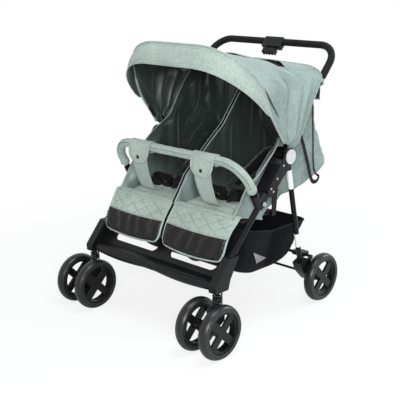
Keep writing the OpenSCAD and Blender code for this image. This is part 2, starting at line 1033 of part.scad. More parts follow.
// Foot brake bar that links both rear wheels
module brake_bar() {
  metal() {
    translate([0, brake_y, brake_z])
      bar_x(brake_r, 2 * (brake_x - 1));
    sides() {
      translate([brake_x - 4, 0, 0])
        rotate([90, 0, 90])
          linear_extrude(height = 6, center = true)
            polygon([[brake_pin_y - 6, brake_pin_z - 5], [brake_pin_y + 4, brake_pin_z - 7],
              [brake_y + 4, brake_z - 8], [brake_y - 3, brake_z + 8], [brake_pin_y - 4, brake_pin_z + 7]]);
      translate([brake_x + 6, brake_pin_y, brake_pin_z])
        bar_x(brake_pin_r, 24);
    }
  }
}

// Tread pads on the brake bar
module brake_pedals() {
  plastic()
    sides()
      translate([200, brake_y, brake_z])
        difference() {
          translate([-30, -12, -8])
            cube([60, 36, 18]);
          bar_x(brake_r, 62);
        }
}

module front_rim(side, out) {
  color("#2e2f32")
    front_wheel_at(side, out)
      rim();
}

module front_tyre(side, out) {
  color("#161617")
    front_wheel_at(side, out)
      tyre();
}

module rear_rim(side) {
  color("#2e2f32")
    rear_wheel_at(side)
      rim();
}

module rear_tyre(side) {
  color("#161617")
    rear_wheel_at(side)
      tyre();
}

front_legs();
hinge_housings();
hinge_caps();
leg_collars();
frame_rivets();
footrest();
leg_feet();
seat_frame();
seat(-1);  // seat_left
seat(1);  // seat_right
legrest(-1);  // legrest_left
legrest(1);  // legrest_right
shell(-1);  // shell_left
shell(1);  // shell_right
basket();
crotch_straps();
strap_snaps();
lap_straps();
buckles();
recline_straps();
spring(-1);  // spring_left
spring(1);  // spring_right
handle_tube();
handle_foam();
fold_plate();
canopy_clips();
fold_trigger();
rear_legs();
rear_brackets();
rear_axle();
leg_bands();
rear_rivets();
brake_bar();
brake_pedals();
rear_rim(-1);  // rear_rim_left
rear_rim(1);  // rear_rim_right
rear_tyre(-1);  // rear_tyre_left
rear_tyre(1);  // rear_tyre_right
stem(-1);  // stem_left
stem(1);  // stem_right
fork(-1);  // fork_left
fork(1);  // fork_right
front_axle(-1);  // axle_left
front_axle(1);  // axle_right
front_rim(-1, 1);  // rim_left_outer
front_rim(-1, -1);  // rim_left_inner
front_rim(1, 1);  // rim_right_outer
front_rim(1, -1);  // rim_right_inner
front_tyre(-1, 1);  // tyre_left_outer
front_tyre(-1, -1);  // tyre_left_inner
front_tyre(1, 1);  // tyre_right_outer
front_tyre(1, -1);  // tyre_right_inner
back(-1);  // back_left
back(1);  // back_right
canopy_bow();
canopy_fabric();
bumper_bar();
bumper_cover();
bumper_button(-1);  // bumper_button_left
bumper_button(1);  // bumper_button_right
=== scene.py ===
import json
import math

import bmesh
import bpy
import numpy as np
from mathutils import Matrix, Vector
from mathutils.bvhtree import BVHTree


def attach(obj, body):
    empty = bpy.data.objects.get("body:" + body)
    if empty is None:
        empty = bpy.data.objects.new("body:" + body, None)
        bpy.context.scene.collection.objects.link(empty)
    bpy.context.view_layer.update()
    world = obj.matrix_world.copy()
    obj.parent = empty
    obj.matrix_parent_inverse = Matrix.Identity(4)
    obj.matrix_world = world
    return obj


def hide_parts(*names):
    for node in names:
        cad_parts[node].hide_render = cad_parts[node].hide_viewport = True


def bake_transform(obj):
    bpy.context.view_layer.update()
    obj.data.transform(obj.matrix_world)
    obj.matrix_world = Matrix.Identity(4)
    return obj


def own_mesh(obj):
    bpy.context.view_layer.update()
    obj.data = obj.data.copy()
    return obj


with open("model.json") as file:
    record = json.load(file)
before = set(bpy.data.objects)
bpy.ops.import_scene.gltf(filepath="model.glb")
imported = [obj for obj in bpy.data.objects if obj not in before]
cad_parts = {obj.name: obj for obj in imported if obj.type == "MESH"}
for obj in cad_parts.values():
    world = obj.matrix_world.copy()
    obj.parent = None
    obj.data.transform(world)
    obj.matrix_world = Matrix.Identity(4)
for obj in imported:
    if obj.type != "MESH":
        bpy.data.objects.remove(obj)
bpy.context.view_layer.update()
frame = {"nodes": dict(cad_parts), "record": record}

nodes = frame["nodes"]
scene = bpy.context.scene
scene.view_settings.view_transform = "Standard"

# Sizes in millimetres, with Y from the front axle, and leans in degrees, as in the part
MID_Y = 336.2742
HINGE = (414.0, 629.0)
HANDLE_LEAN = 42.5
LEG_LEAN = 44.3
PIVOT = (446.43, 664.39)
BOW_LEAN = -36.5
BUMPER = (255.0, 476.0)
BUMPER_LEAN = -29.2
BUMPER_LENGTH = 184
SEAT_X = 142
CASTER_X = 323
WHEEL_RADIUS = 97

# The photograph's camera, as place, direction and focal length
CAMERA_PLACE = (2006, -1855, 1266)
CAMERA_LOOK = (-0.65411, 0.70482, -0.27456)
CAMERA_LENS = 72.02

SIDES = ((-1, "left"), (1, "right"))
ACROSS = np.array((1.0, 0.0, 0.0))


def mm(points):
    """Points in millimetres from the front axle, as metres in the shared frame."""
    return (np.asarray(points, float) - np.array((0.0, MID_Y, 0.0))) / 1000.0


def at(x, y, z):
    return tuple(mm((x, y, z)))


def lean_dir(lean):
    """Direction up along something that leans back by this many degrees."""
    a = math.radians(lean)
    return np.array((0.0, math.sin(a), math.cos(a)))


def unit(v):
    """The same vectors, each of length 1."""
    return v / np.linalg.norm(v, axis=-1, keepdims=True)


def smooth(t):
    t = np.clip(t, 0.0, 1.0)
    return t * t * (3 - 2 * t)


def bumps(a, b, seed, waves=5, low=1.0, high=4.0):
    """A smooth field of soft folds over two directions, from -1 to 1, the same each run."""
    rng = np.random.RandomState(seed)
    total = np.zeros(np.broadcast(a, b).shape)
    for _ in range(waves):
        fa, fb = rng.uniform(low, high, 2)
        total = total + np.sin(2 * math.pi * (fa * a + fb * b) + rng.uniform(0, 6.28))
    return total / waves


# Shader nodes

def feed(tree, n, inputs):
    """Fills a node's inputs, each with a number, a colour or another node's output."""
    for key, value in inputs.items():
        if isinstance(value, bpy.types.NodeSocket):
            tree.links.new(value, n.inputs[key])
        else:
            n.inputs[key].default_value = value


def node(tree, kind, inputs=None, **values):
    n = tree.nodes.new(kind)
    for key, value in values.items():
        setattr(n, key, value)
    feed(tree, n, inputs or {})
    return n


def math_node(tree, kind, *terms):
    return node(tree, "ShaderNodeMath", dict(enumerate(terms)), operation=kind).outputs[0]


def mixed(tree, share, first, second):
    """A shader between two others: a share of 1 is the second alone."""
    return node(tree, "ShaderNodeMixShader", {0: share, 1: first.outputs[0], 2: second.outputs[0]})


# Camera and light

def looking(direction):
    return Vector(direction).to_track_quat("-Z", "Y").to_euler()


def lamp(name, place, target, size, power, colour):
    data = bpy.data.lights.new(name, "AREA")
    data.shape = "RECTANGLE"
    data.size, data.size_y = size
    data.energy = power
    data.color = colour
    o = bpy.data.objects.new(name, data)
    scene.collection.objects.link(o)
    o.location = place
    o.rotation_euler = looking(Vector(target) - Vector(place))


def studio():
    """World with soft light from all sides, which the camera, gloss and glass see as plain white."""
    world = bpy.data.worlds.new("studio")
    scene.world = world
    world.use_nodes = True
    tree = world.node_tree
    tree.nodes.clear()
    ray = node(tree, "ShaderNodeLightPath").outputs
    seen = math_node(tree, "MAXIMUM", ray["Is Camera Ray"], ray["Is Transmission Ray"])
    seen = math_node(tree, "MAXIMUM", seen, ray["Is Glossy Ray"])
    light = node(tree, "ShaderNodeBackground", {"Color": (0.95, 0.985, 1.0, 1), "Strength": 0.42})
    white = node(tree, "ShaderNodeBackground", {"Color": (1, 1, 1, 1), "Strength": 1.0})
    node(tree, "ShaderNodeOutputWorld", {"Surface": mixed(tree, seen, light, white).outputs[0]})


camera = bpy.data.objects.new("camera", bpy.data.cameras.new("camera"))
scene.collection.objects.link(camera)
camera.location = at(*CAMERA_PLACE)
camera.rotation_euler = looking(CAMERA_LOOK)
camera.data.sensor_width = 36
camera.data.lens = CAMERA_LENS
scene.camera = camera
studio()
lamp("key", (0.9, -0.4, 3.4), (0, 0, 0.4), (1.8, 1.4), 46, (0.9, 1.0, 1.0))
lamp("side", (1.2, 3.1, 2.0), (0, 0, 0.6), (1.2, 1.6), 46, (0.92, 1.0, 1.0))
lamp("front", (2.5, -2.7, 1.7), (0, 0, 0.5), (1.5, 1.1), 108, (1.0, 0.985, 0.965))


# Materials

def start(name):
    m = bpy.data.materials.new(name)
    m.use_nodes = True
    return m, m.node_tree, m.node_tree.nodes["Principled BSDF"]


def place_on(tree):
    return node(tree, "ShaderNodeTexCoord").outputs["Object"]


def stretched(tree, scale=(1, 1, 1)):
    return node(tree, "ShaderNodeMapping", {"Vector": place_on(tree), "Scale": scale}).outputs[0]


def noise(tree, coords, scale, detail=2.0, rough=0.5):
    inputs = {"Vector": coords, "Scale": scale, "Detail": detail, "Roughness": rough}
    return node(tree, "ShaderNodeTexNoise", inputs).outputs["Fac"]


def ramp(tree, factor, low, dark, high, light):
    """Colour that runs from dark at a low factor to light at a high one."""
    r = node(tree, "ShaderNodeValToRGB", {0: factor})
    for e, place, colour in zip(r.color_ramp.elements, (low, high), (dark, light)):
        e.position = place
        e.color = (*colour, 1)
    return r.outputs[0]


def weave(tree, coords, pitch):
    """Threads of the given pitch in metres along all three axes, so that a cross shows on any face."""
    inputs = {"Vector": coords, "Scale": 2 * math.pi / (20 * pitch), "Distortion": 0.6, "Detail": 0.0}
    x, y, z = (node(tree, "ShaderNodeTexWave", inputs, wave_type="BANDS", bands_direction=axis).outputs["Fac"]
               for axis in "XYZ")
    return math_node(tree, "ADD", math_node(tree, "ADD", x, y), z)


def bump(tree, shader, height, strength, distance):
    inputs = {"Height": height, "Strength": strength, "Distance": distance}
    feed(tree, shader, {"Normal": node(tree, "ShaderNodeBump", inputs).outputs[0]})


def fabric(name, dark, light, pitch, rough=0.85, sheen=0.25, patches=9.0, strength=0.35, gloss=0.25):
    """Mottled woven cloth: slow patches, stretched flecks of yarn and a fine weave."""
    m, tree, shader = start(name)
    plain = stretched(tree)
    slow = noise(tree, plain, patches, 3)
    fine = noise(tree, stretched(tree, (1, 1, 0.3)), 260.0, 2, 0.6)
    cross = noise(tree, stretched(tree, (0.3, 0.3, 1)), 338.0, 2, 0.6)
    tone = math_node(tree, "MULTIPLY", slow, 0.3)
    tone = math_node(tree, "ADD", tone, math_node(tree, "MULTIPLY", fine, 0.4))
    tone = math_node(tree, "ADD", tone, math_node(tree, "MULTIPLY", cross, 0.3))
    feed(tree, shader, {"Base Color": ramp(tree, tone, 0.34, dark, 0.66, light), "Roughness": rough,
                        "Sheen Weight": sheen, "Sheen Roughness": 0.4, "Specular IOR Level": gloss})
    bump(tree, shader, math_node(tree, "ADD", weave(tree, plain, pitch), fine), strength, 0.0006)
    return m


def paint_front_light(material, colour, low, high):
    """Painted light: cloth turns paler towards the seat's front; low and high bound the change, in metres."""
    tree = material.node_tree
    shader = tree.nodes["Principled BSDF"]
    base = shader.inputs["Base Color"].links[0].from_socket
    split = node(tree, "ShaderNodeSeparateXYZ", {0: place_on(tree)}).outputs
    depth = math_node(tree, "ADD", split["Z"], math_node(tree, "MULTIPLY", split["Y"], 0.9))
    fade = {"Value": depth, "From Min": low, "From Max": high, "To Min": 1.0, "To Max": 0.0}
    fade = node(tree, "ShaderNodeMapRange", fade, interpolation_type="SMOOTHSTEP").outputs[0]
    mix = node(tree, "ShaderNodeMix", data_type="RGBA")
    feed(tree, mix, {0: fade, 6: base, 7: (*colour, 1)})
    feed(tree, shader, {"Base Color": mix.outputs[2]})


def plastic(name, dark, light, rough, grain, strength=0.12, gloss=0.2):
    """Moulded plastic: fine grain, faint patches of gloss and paler, rubbed edges."""
    m, tree, shader = start(name)
    plain = stretched(tree)
    slow = noise(tree, plain, 22, 3)
    fine = noise(tree, plain, grain, 2, 0.6)
    point = node(tree, "ShaderNodeNewGeometry").outputs["Pointiness"]
    edge = {"Value": point, "From Min": 0.52, "From Max": 0.62, "To Max": 0.3}
    edge = node(tree, "ShaderNodeMapRange", edge).outputs[0]
    tone = math_node(tree, "ADD", math_node(tree, "MULTIPLY", slow, 0.7), edge)
    feed(tree, shader, {"Base Color": ramp(tree, tone, 0.2, dark, 0.75, light),
                        "Roughness": math_node(tree, "MULTIPLY_ADD", slow, 0.16, rough - 0.08),
                        "Specular IOR Level": gloss})
    bump(tree, shader, fine, strength, 0.0004)
    return m


def metal(name, colour, rough, scale, metallic=1.0):
    """Bright metal with fine drawn scratches."""
    m, tree, shader = start(name)
    lines = noise(tree, stretched(tree, (0.06, 1, 1)), scale, 3, 0.6)
    dark = tuple(c * 0.82 for c in colour)
    feed(tree, shader, {"Base Color": ramp(tree, lines, 0.3, dark, 0.7, colour), "Metallic": metallic,
                        "Roughness": math_node(tree, "MULTIPLY_ADD", lines, 0.18, rough)})
    bump(tree, shader, lines, 0.06, 0.0002)
    return m


MINT_DARK, MINT_LIGHT = (0.228, 0.294, 0.267), (0.462, 0.547, 0.508)
COAL, SOOT = (0.003, 0.003, 0.0035), (0.012, 0.012, 0.013)
MATS = {
    "fabric_mint": fabric("mint_weave", MINT_DARK, MINT_LIGHT, 0.0016),
    "fabric_lining": fabric("lining", (0.014, 0.024, 0.022), (0.05, 0.074, 0.067), 0.001,
                            rough=0.36, sheen=0.28, patches=6.0, strength=0.1, gloss=0.45),
    "basket_black": fabric("basket_weave", (0.002, 0.002, 0.003), (0.009, 0.009, 0.011), 0.002,
                           rough=0.78, sheen=0.02, patches=8, strength=0.5, gloss=0.07),
    "webbing": fabric("webbing", (0.003, 0.003, 0.004), (0.01, 0.01, 0.012), 0.0022,
                      rough=0.62, sheen=0.03, patches=12, strength=0.6, gloss=0.12),
    "mesh_grey": fabric("mesh_grey", (0.12, 0.125, 0.13), (0.42, 0.43, 0.44), 0.004,
                        rough=0.7, sheen=0.1, patches=10, strength=0.8),
    "frame_black": plastic("frame_paint", COAL, (0.008, 0.008, 0.009), 0.24, 900, 0.05, 0.16),
    "plastic_black": plastic("moulding", COAL, SOOT, 0.37, 1500, 0.12),
    "wheel_plastic": plastic("wheel_moulding", COAL, SOOT, 0.34, 1300, 0.1),
    "tyre": plastic("tyre_rubber", COAL, (0.013, 0.013, 0.014), 0.33, 1100, 0.12, 0.4),
    "spring_black": plastic("spring_coat", COAL, (0.011, 0.011, 0.011), 0.2, 800, 0.04, 0.3),
    "foam": plastic("grip_foam", (0.006, 0.006, 0.007), (0.016, 0.016, 0.018), 0.6, 2200, 0.3, 0.12),
    "pvc_black": plastic("wipe_clean_cover", COAL, (0.009, 0.009, 0.01), 0.25, 600, 0.06, 0.26),
    "cap_silver": metal("cap_silver", (0.72, 0.74, 0.76), 0.3, 240, 0.5),
    "button_grey": plastic("button_grey", (0.36, 0.37, 0.38), (0.5, 0.51, 0.52), 0.45, 1200, 0.1),
    # Pale leg bands: painted reflection of the studio lights on the glossy black rear leg tubes
    "band_white": plastic("pale_band", (0.68, 0.69, 0.7), (0.84, 0.85, 0.86), 0.4, 1600, 0.08),
    "steel": metal("zinc", (0.62, 0.63, 0.64), 0.28, 300),
}
# Smoother mint weave for the hood and shells; its darker, tealer colour is painted shade on their upper and
# side faces
satin_painted_shade = fabric("mint_satin", (0.158, 0.222, 0.212), (0.3, 0.385, 0.37), 0.0011,
               rough=0.5, sheen=0.2, patches=7.0, strength=0.2, gloss=0.4)
shell_lining = fabric("shell_lining", (0.012, 0.02, 0.019), (0.045, 0.066, 0.06), 0.001,
                      rough=0.4, sheen=0.25, patches=6.0, strength=0.1, gloss=0.4)
# Painted light on the shells' lining: paler towards the seat's front, darker deeper in the seat
paint_front_light(shell_lining, (0.2, 0.265, 0.25), 0.37, 0.66)
black_steel = metal("blackened_steel", (0.03, 0.03, 0.032), 0.26, 300)

for part in frame["record"]["subparts"]:
    data = nodes[part["node"]].data
    data.materials.clear()
    data.materials.append(MATS[part["material_slot"]])
for name in ("rear_axle", "stem_left", "stem_right", "axle_left", "axle_right"):
    nodes[name].data.materials[0] = black_steel


# Mesh helpers

def piece(name, verts, faces, slot, body=None, inner=None):
    data = bpy.data.meshes.new(name)
    data.from_pydata([tuple(v) for v in verts], [], faces)
    data.materials.append(MATS[slot])
    if inner:
        data.materials.append(MATS[inner])
    data.polygons.foreach_set("use_smooth", [True] * len(data.polygons))
    data.update()
    o = bpy.data.objects.new(name, data)
    scene.collection.objects.link(o)
    if body:
        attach(o, body)
    return o


def grid_faces(nu, nv, closed_u=False, closed_v=False):
    faces = []
    for i in range(nu if closed_u else nu - 1):
        for j in range(nv if closed_v else nv - 1):
            a, b = i, (i + 1) % nu
            c, d = j, (j + 1) % nv
            faces.append((a * nv + c, b * nv + c, b * nv + d, a * nv + d))
    return faces


def facing(points, faces, centre):
    """Faces turned so that most of them look away from centre."""
    p = np.asarray(points)
    f = np.array(faces)
    n = np.cross(p[f[:, 2]] - p[f[:, 0]], p[f[:, 3]] - p[f[:, 1]])
    away = p[f].mean(1) - np.asarray(centre)
    return faces if (n * away).sum() > 0 else [tuple(reversed(q)) for q in faces]


def sheet(name, points, centre, slot, inner, thickness, body=None):
    """A grid of points in millimetres as thick cloth; the slot's material is on the side away from centre."""
    nu, nv = points.shape[:2]
    flat = mm(points.reshape(-1, 3))
    o = piece(name, flat, facing(flat, grid_faces(nu, nv), mm(centre)), slot, body, inner)
    s = o.modifiers.new("thickness", "SOLIDIFY")
    s.thickness = thickness / 1000
    s.offset = -1
    s.material_offset = 1
    s.material_offset_rim = 0
    return o


def frames(path):
    """Tangents and two cross directions carried along a path without twist."""
    t = unit(np.gradient(path, axis=0))
    first = np.array((0, 0, 1.0)) if abs(t[0][2]) < 0.9 else ACROSS
    ns = [unit(np.cross(t[0], first))]
    for tangent in t[1:]:
        ns.append(unit(ns[-1] - tangent * (ns[-1] @ tangent)))
    return t, np.array(ns), np.cross(t, ns)


def sweep(name, path, radius, slot, body=None, sides=12, closed=False, swell=None):
    """A round cord, piping or tube along a path in millimetres, with rounded ends."""
    path = np.asarray(path, float)
    t, n, b = frames(path)
    r = np.broadcast_to(np.asarray(radius, float), len(path))

    def cap(end, way, k):
        """Ring of a rounded end, with k from 0 on the path to 1 at the tip."""
        tip = path[end] + t[end] * way * r[end] * k * 0.9
        return tip, n[end], b[end], r[end] * math.sqrt(max(0.02, 1 - k * k))

    rings = list(zip(path, n, b, r))
    if not closed:
        rings = [cap(0, -1, k) for k in (1.0, 0.7, 0.35)] + rings + [cap(-1, 1, k) for k in (0.35, 0.7, 1.0)]
    angles = np.linspace(0, 2 * math.pi, sides, endpoint=False)
    verts = []
    for i, (p, nn, bb, rr) in enumerate(rings):
        for j, a in enumerate(angles):
            grow = swell(i / (len(rings) - 1), j / sides) if swell else 0
            verts.append(p + (nn * math.cos(a) + bb * math.sin(a)) * (rr + grow))
    faces = grid_faces(len(rings), sides, closed, True)
    if not closed:
        last = (len(rings) - 1) * sides
        faces += [tuple(range(sides))[::-1], tuple(range(last, last + sides))]
    o = piece(name, mm(verts), faces, slot, body)
    tidy_normals(o)
    return o


def tidy_normals(o):
    b = bmesh.new()
    b.from_mesh(o.data)
    bmesh.ops.recalc_face_normals(b, faces=b.faces)
    b.to_mesh(o.data)
    b.free()


def ribbon(name, path, across, width, thick, slot, body=None):
    """Flat webbing along a path; across gives the direction of its width at each point."""
    path = np.asarray(path, float)
    across = np.broadcast_to(np.asarray(across, float), path.shape)
    width = np.broadcast_to(np.asarray(width, float), (len(path),))
    t = unit(np.gradient(path, axis=0))
    side = unit(across - t * (across * t).sum(1)[:, None])
    up = np.cross(t, side)
    edge = [(-1, 0), (-0.94, 0.8), (-0.8, 1), (-0.3, 1), (0.3, 1), (0.8, 1), (0.94, 0.8),
            (1, 0), (0.94, -0.8), (0.8, -1), (0.3, -1), (-0.3, -1), (-0.8, -1), (-0.94, -0.8)]
    verts = []
    for i in range(len(path)):
        for a, h in edge:
            verts.append(path[i] + side[i] * a * width[i] / 2 + up[i] * h * thick / 2)
    k = len(edge)
    faces = grid_faces(len(path), k, False, True)
    faces.append(tuple(range(k)))
    faces.append(tuple((len(path) - 1) * k + j for j in range(k))[::-1])
    o = piece(name, mm(verts), faces, slot, body)
    tidy_normals(o)
    return o


def resample(path, step):
    path = np.asarray(path, float)
    d = np.r_[0, np.cumsum(np.linalg.norm(np.diff(path, axis=0), axis=1))]
    s = np.linspace(0, d[-1], max(3, int(round(d[-1] / step)) + 1))
    return np.stack([np.interp(s, d, path[:, k]) for k in range(3)], 1)


def curve(points, step=6.0):
    """A smooth path through the given points."""
    p = np.asarray(points, float)
    q = np.vstack([2 * p[0] - p[1], p, 2 * p[-1] - p[-2]])
    out = []
    for i in range(1, len(q) - 2):
        for u in np.linspace(0, 1, 16, endpoint=False):
            a, b, c, d = q[i - 1:i + 3]
            square, cube = 2 * a - 5 * b + 4 * c - d, 3 * b - a - 3 * c + d
            out.append(0.5 * (2 * b + (c - a) * u + square * u * u + cube * u ** 3))
    out.append(p[-1])
    return resample(out, step)


def stitches(name, paths, slot, body=None, length=5.0, gap=3.0, radius=0.55):
    """Rows of sewing stitches along the given paths, as short rounded threads in one mesh."""
    step, long = int(round(length + gap)), int(length)
    verts, faces = [], []
    for path in paths:
        path = resample(path, 1.0)
        for k in range(0, len(path) - long, step):
            a, b = path[k], path[k + long]
            t = unit(b - a)
            n = unit(np.cross(t, (0.31, 0.52, 0.8)))
            c = np.cross(t, n)
            base = len(verts)
            for u, s in ((0.0, 0.5), (0.2, 1.0), (0.8, 1.0), (1.0, 0.5)):
                for q in range(5):
                    w = 2 * math.pi * q / 5
                    verts.append(a + (b - a) * u + (n * math.cos(w) + c * math.sin(w)) * radius * s)
            for i in range(3):
                for q in range(5):
                    faces.append((base + i * 5 + q, base + i * 5 + (q + 1) % 5,
                                  base + i * 5 + 5 + (q + 1) % 5, base + i * 5 + 5 + q))
            faces.append(tuple(base + q for q in range(5))[::-1])
            faces.append(tuple(base + 15 + q for q in range(5)))
    return piece(name, mm(verts), faces, slot, body)


def lengths(points):
    """Longest row each way, in metres, of a grid of points in millimetres, and its area."""
    du = np.linalg.norm(np.diff(points, axis=0), axis=2).sum(0)
    dv = np.linalg.norm(np.diff(points, axis=1), axis=2).sum(1)
    a = points[:-1, :-1]
    area = np.linalg.norm(np.cross(points[1:, 1:] - a, points[1:, :-1] - points[:-1, 1:]), axis=2).sum() / 2
    return du.max() / 1000, dv.max() / 1000, area / 1e6


def as_sheet(points):
    """Works out a piece's flat size and area from its own grid of points; nothing is done with them."""
    width, length, area = lengths(points)
    area = min(area, width * length)


# Rounded edges on the moulded and metal parts, as a width in millimetres

ROUNDED = {
    "leg_feet": 6.0, "footrest": 3.5, "fold_plate": 2.5, "rear_brackets": 2.5, "hinge_housings": 2.2,
    "brake_pedals": 2.0, "fork_left": 2.0, "fork_right": 2.0, "fold_trigger": 1.5, "leg_collars": 1.2,
    "hinge_caps": 1.0, "bumper_button_left": 0.8, "bumper_button_right": 0.8, "brake_bar": 0.6,
    "seat_frame": 0.6, "frame_rivets": 0.6, "rear_rivets": 0.6, "strap_snaps": 0.6, "canopy_clips": 0.5,
}
ROUNDED.update((name, 1.6) for name in nodes if name.startswith(("rim_", "rear_rim_")))
for name, width in ROUNDED.items():
    o = nodes[name]
    o.data.polygons.foreach_set("use_smooth", [True] * len(o.data.polygons))
    weld = o.modifiers.new("weld", "WELD")
    weld.merge_threshold = 0.00003
    bevel = o.modifiers.new("edge", "BEVEL")
    bevel.width = width / 1000
    bevel.segments = 3
    bevel.limit_method = "ANGLE"
    bevel.angle_limit = math.radians(38)
    normal = o.modifiers.new("normals", "WEIGHTED_NORMAL")
    normal.keep_sharp = True


# Canopy: its bow and visor as half width, length and bend

BOW = (325.3, 446.3, 219.8)
BOW_TUBE = (318.5, 439.5, 213)
VISOR = (328.3, 231, 219)
VISOR_BASE, VISOR_LEAN = (301, 784), -44.5
CANOPY_MID = (0, 420, 760)
ARCH_STEPS = (14, 26, 16)
HOOD_COLUMNS, VISOR_COLUMNS, GORE_SEAM = 63, 14, 40


def arch(half, length, bend, low):
    """Arch outline from the right foot over the top to the left foot, as (across, along)."""
    side, corner, top = ARCH_STEPS
    right = [(half, low + (length - bend - low) * i / side) for i in range(side)]
    right += [(half - bend + bend * math.cos(a), length - bend + bend * math.sin(a))
              for a in np.linspace(0, math.pi / 2, corner, endpoint=False)]
    right += [((half - bend) * (1 - i / top), length) for i in range(top + 1)]
    left = [(-x, y) for x, y in reversed(right[:-1])]
    return np.array(right + left)


def in_plane(outline, base, lean):
    d = lean_dir(lean)
    return np.array([(x, base[0], base[1]) + d * a for x, a in outline])


def bow_edge(low):
    """Outer edge of the bow above a given height, drawn forward towards its feet."""
    outline = arch(*BOW, low)
    edge = in_plane(outline, PIVOT, BOW_LEAN)
    edge[:, 1] -= 40 * smooth((330 - outline[:, 1]) / 200)
    return edge


def rear_edge():
    """Rear edge of the hood: outside the handle tubes up to the ties, then in front of the handle bar."""
    out = lean_dir(HANDLE_LEAN)
    back = np.array((0.0, out[2], -out[1]))
    base = np.array((0.0, *HINGE))
    side, corner, top = ARCH_STEPS
    rows = []
    for i in range(side):
        along = 32 + 286 * (i / side)
        rows.append((320.0, along, np.interp(along, [32, 50, 75, 121, 231, 318], [-9, 14, 23, 25, -3, -16])))
    for i in range(corner):
        a = math.pi / 2 * i / corner
        rows.append((190 + 127 * math.cos(a) ** 0.8, 318 + 66 * math.sin(a) ** 0.9, -14 - 10 * i / corner))
    for i in range(top + 1):
        f = i / top
        rows.append((190 * (1 - f), 384 + 5 * f, -24 - 6 * f))
    right = [x * ACROSS + base + out * a + back * n for x, a, n in rows]
    left = [p * np.array((-1, 1, 1)) for p in reversed(right[:-1])]
    return np.array(right + left)


hood_front, visor_top = bow_edge(20), bow_edge(150)
visor_edge = in_plane(arch(*VISOR, 0), VISOR_BASE, VISOR_LEAN)
hood_rear = rear_edge()
arc = np.linspace(0, 1, len(hood_rear))


def normals(grid):
    n = np.cross(np.gradient(grid, axis=0), np.gradient(grid, axis=1))
    return n / (np.linalg.norm(n, axis=2, keepdims=True) + 1e-9)


def surface(front, rear, steps, lift, crowd=1.0):
    """Loft between two edges, moved out by lift(arc, s); crowd draws its columns to the front."""
    s = np.linspace(0, 1, steps) ** crowd
    grid = front[:, None, :] * (1 - s)[None, :, None] + rear[:, None, :] * s[None, :, None]
    n = normals(grid)
    sign = np.sign(((grid - np.array(CANOPY_MID)) * n).sum())
    return grid + n * sign * lift(arc[:, None], s[None, :])[:, :, None]


# Folds of the side gores: place between front and rear, width and height
GORE_FOLDS = ((0.3, 0.07, 11), (0.42, 0.05, -10), (0.53, 0.05, 27), (0.635, 0.04, -11), (0.73, 0.04, 22),
              (0.84, 0.04, -9))


def hood_lift(t, s):
    o = 1 - np.abs(2 * t - 1)
    sag = -13 * 4 * s * (1 - s) * smooth((o - 0.12) / 0.3)
    bent = s + 0.03 * np.sin(13 * o + 1)
    fan = sum(height * np.exp(-((bent - place) / wide) ** 2) for place, wide, height in GORE_FOLDS)
    fan = fan * smooth((0.54 - o) / 0.28) * smooth(o / 0.06)
    soft = (2.8 * bumps(t * 2.2, s * 1.2, 4, 6) + 2.0 * bumps(t * 6.0, s * 3.2, 15, 7)) * np.sin(math.pi * s)
    step = -5 * smooth(s / 0.025) * (1 - smooth((s - 0.03) / 0.3)) * smooth(o / 0.08)
    return sag + fan + soft + step


def visor_lift(t, s):
    o = 1 - np.abs(2 * t - 1)
    pucker = 1.3 * np.sin(2 * math.pi * (23 * t + 0.3 * np.sin(31 * t))) * np.exp(-((0.86 - s) / 0.16) ** 2)
    soft = 2.0 * bumps(t * 5, s * 0.8, 8, 6) + pucker
    return (5 + soft * smooth(o / 0.1)) * np.sin(math.pi * s)


def clear_of_pivot(points):
    """Cloth held outside the bow's pivots."""
    p = points.copy()
    near = smooth((66 - np.hypot(p[:, :, 1] - PIVOT[0], p[:, :, 2] - PIVOT[1])) / 24)
    p[:, :, 0] += np.sign(p[:, :, 0]) * np.maximum(330 - np.abs(p[:, :, 0]), 0) * near
    return p


def rounded_ends(points, radius):
    """The same sheet with the corners of its first columns rounded off at both ends."""
    out = points.copy()
    columns = points.shape[1]
    for j in range(columns):
        back = max(0.0, 1 - j / (0.62 * columns))
        cut = radius * (1 - math.sqrt(1 - back * back))
        line = points[:, j]
        d = np.r_[0, np.cumsum(np.linalg.norm(np.diff(line, axis=0), axis=1))]
        at_length = cut + (d[-1] - 2 * cut) * d / d[-1]
        out[:, j] = np.stack([np.interp(at_length, d, line[:, k]) for k in range(3)], 1)
    return out


hood = clear_of_pivot(surface(hood_front, hood_rear, HOOD_COLUMNS, hood_lift, 1.4))
visor = rounded_ends(surface(visor_edge, visor_top, VISOR_COLUMNS, visor_lift), 22)
visor_rim = np.vstack([visor[0, ::-1], visor[1:-1, 0], visor[-1]])


def shaded_satin_sheet(name, points, centre, thickness, body=None):
    """Lined mint cloth with the smoother outside of the hood and the shells, whose darker, tealer colour is
    painted shade.
    """
    o = sheet(name, points, centre, "fabric_mint", "fabric_lining", thickness, body)
    o.data.materials[0] = satin_painted_shade
    return o


hood_cloth = shaded_satin_sheet("canopy_hood", hood, CANOPY_MID, 1.6)
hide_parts("canopy_fabric")
visor_cloth = sheet("canopy_visor", visor, CANOPY_MID, "fabric_mint", "fabric_lining", 2.0, "canopy")
hood_trims = [sweep("canopy_rear_piping", resample(hood_rear, 9), 2.2, "fabric_mint", sides=8)]
for end, rows in (("", slice(2, 45)), ("_left", slice(-45, -2))):
    path = resample(hood[rows, GORE_SEAM], 8)
    hood_trims.append(sweep("canopy_gore_seam" + end, path, 1.6, "fabric_mint", sides=8))
for word, sleeve, clip in (("right", slice(0, 16), slice(2, 6)), ("left", slice(-16, None), slice(-6, -2))):
    path = resample(hood[sleeve, 0], 6)
    hood_trims.append(sweep("canopy_gore_sleeve_" + word, path, 4.2, "fabric_mint", sides=10))
    path = resample(hood[clip, 0], 6) * np.array((0.978, 1, 1))
    hood_trims.append(sweep("canopy_gore_clip_" + word, path, 4.6, "plastic_black", sides=10))
bow_line = in_plane(arch(*BOW_TUBE, 46), PIVOT, BOW_LEAN)
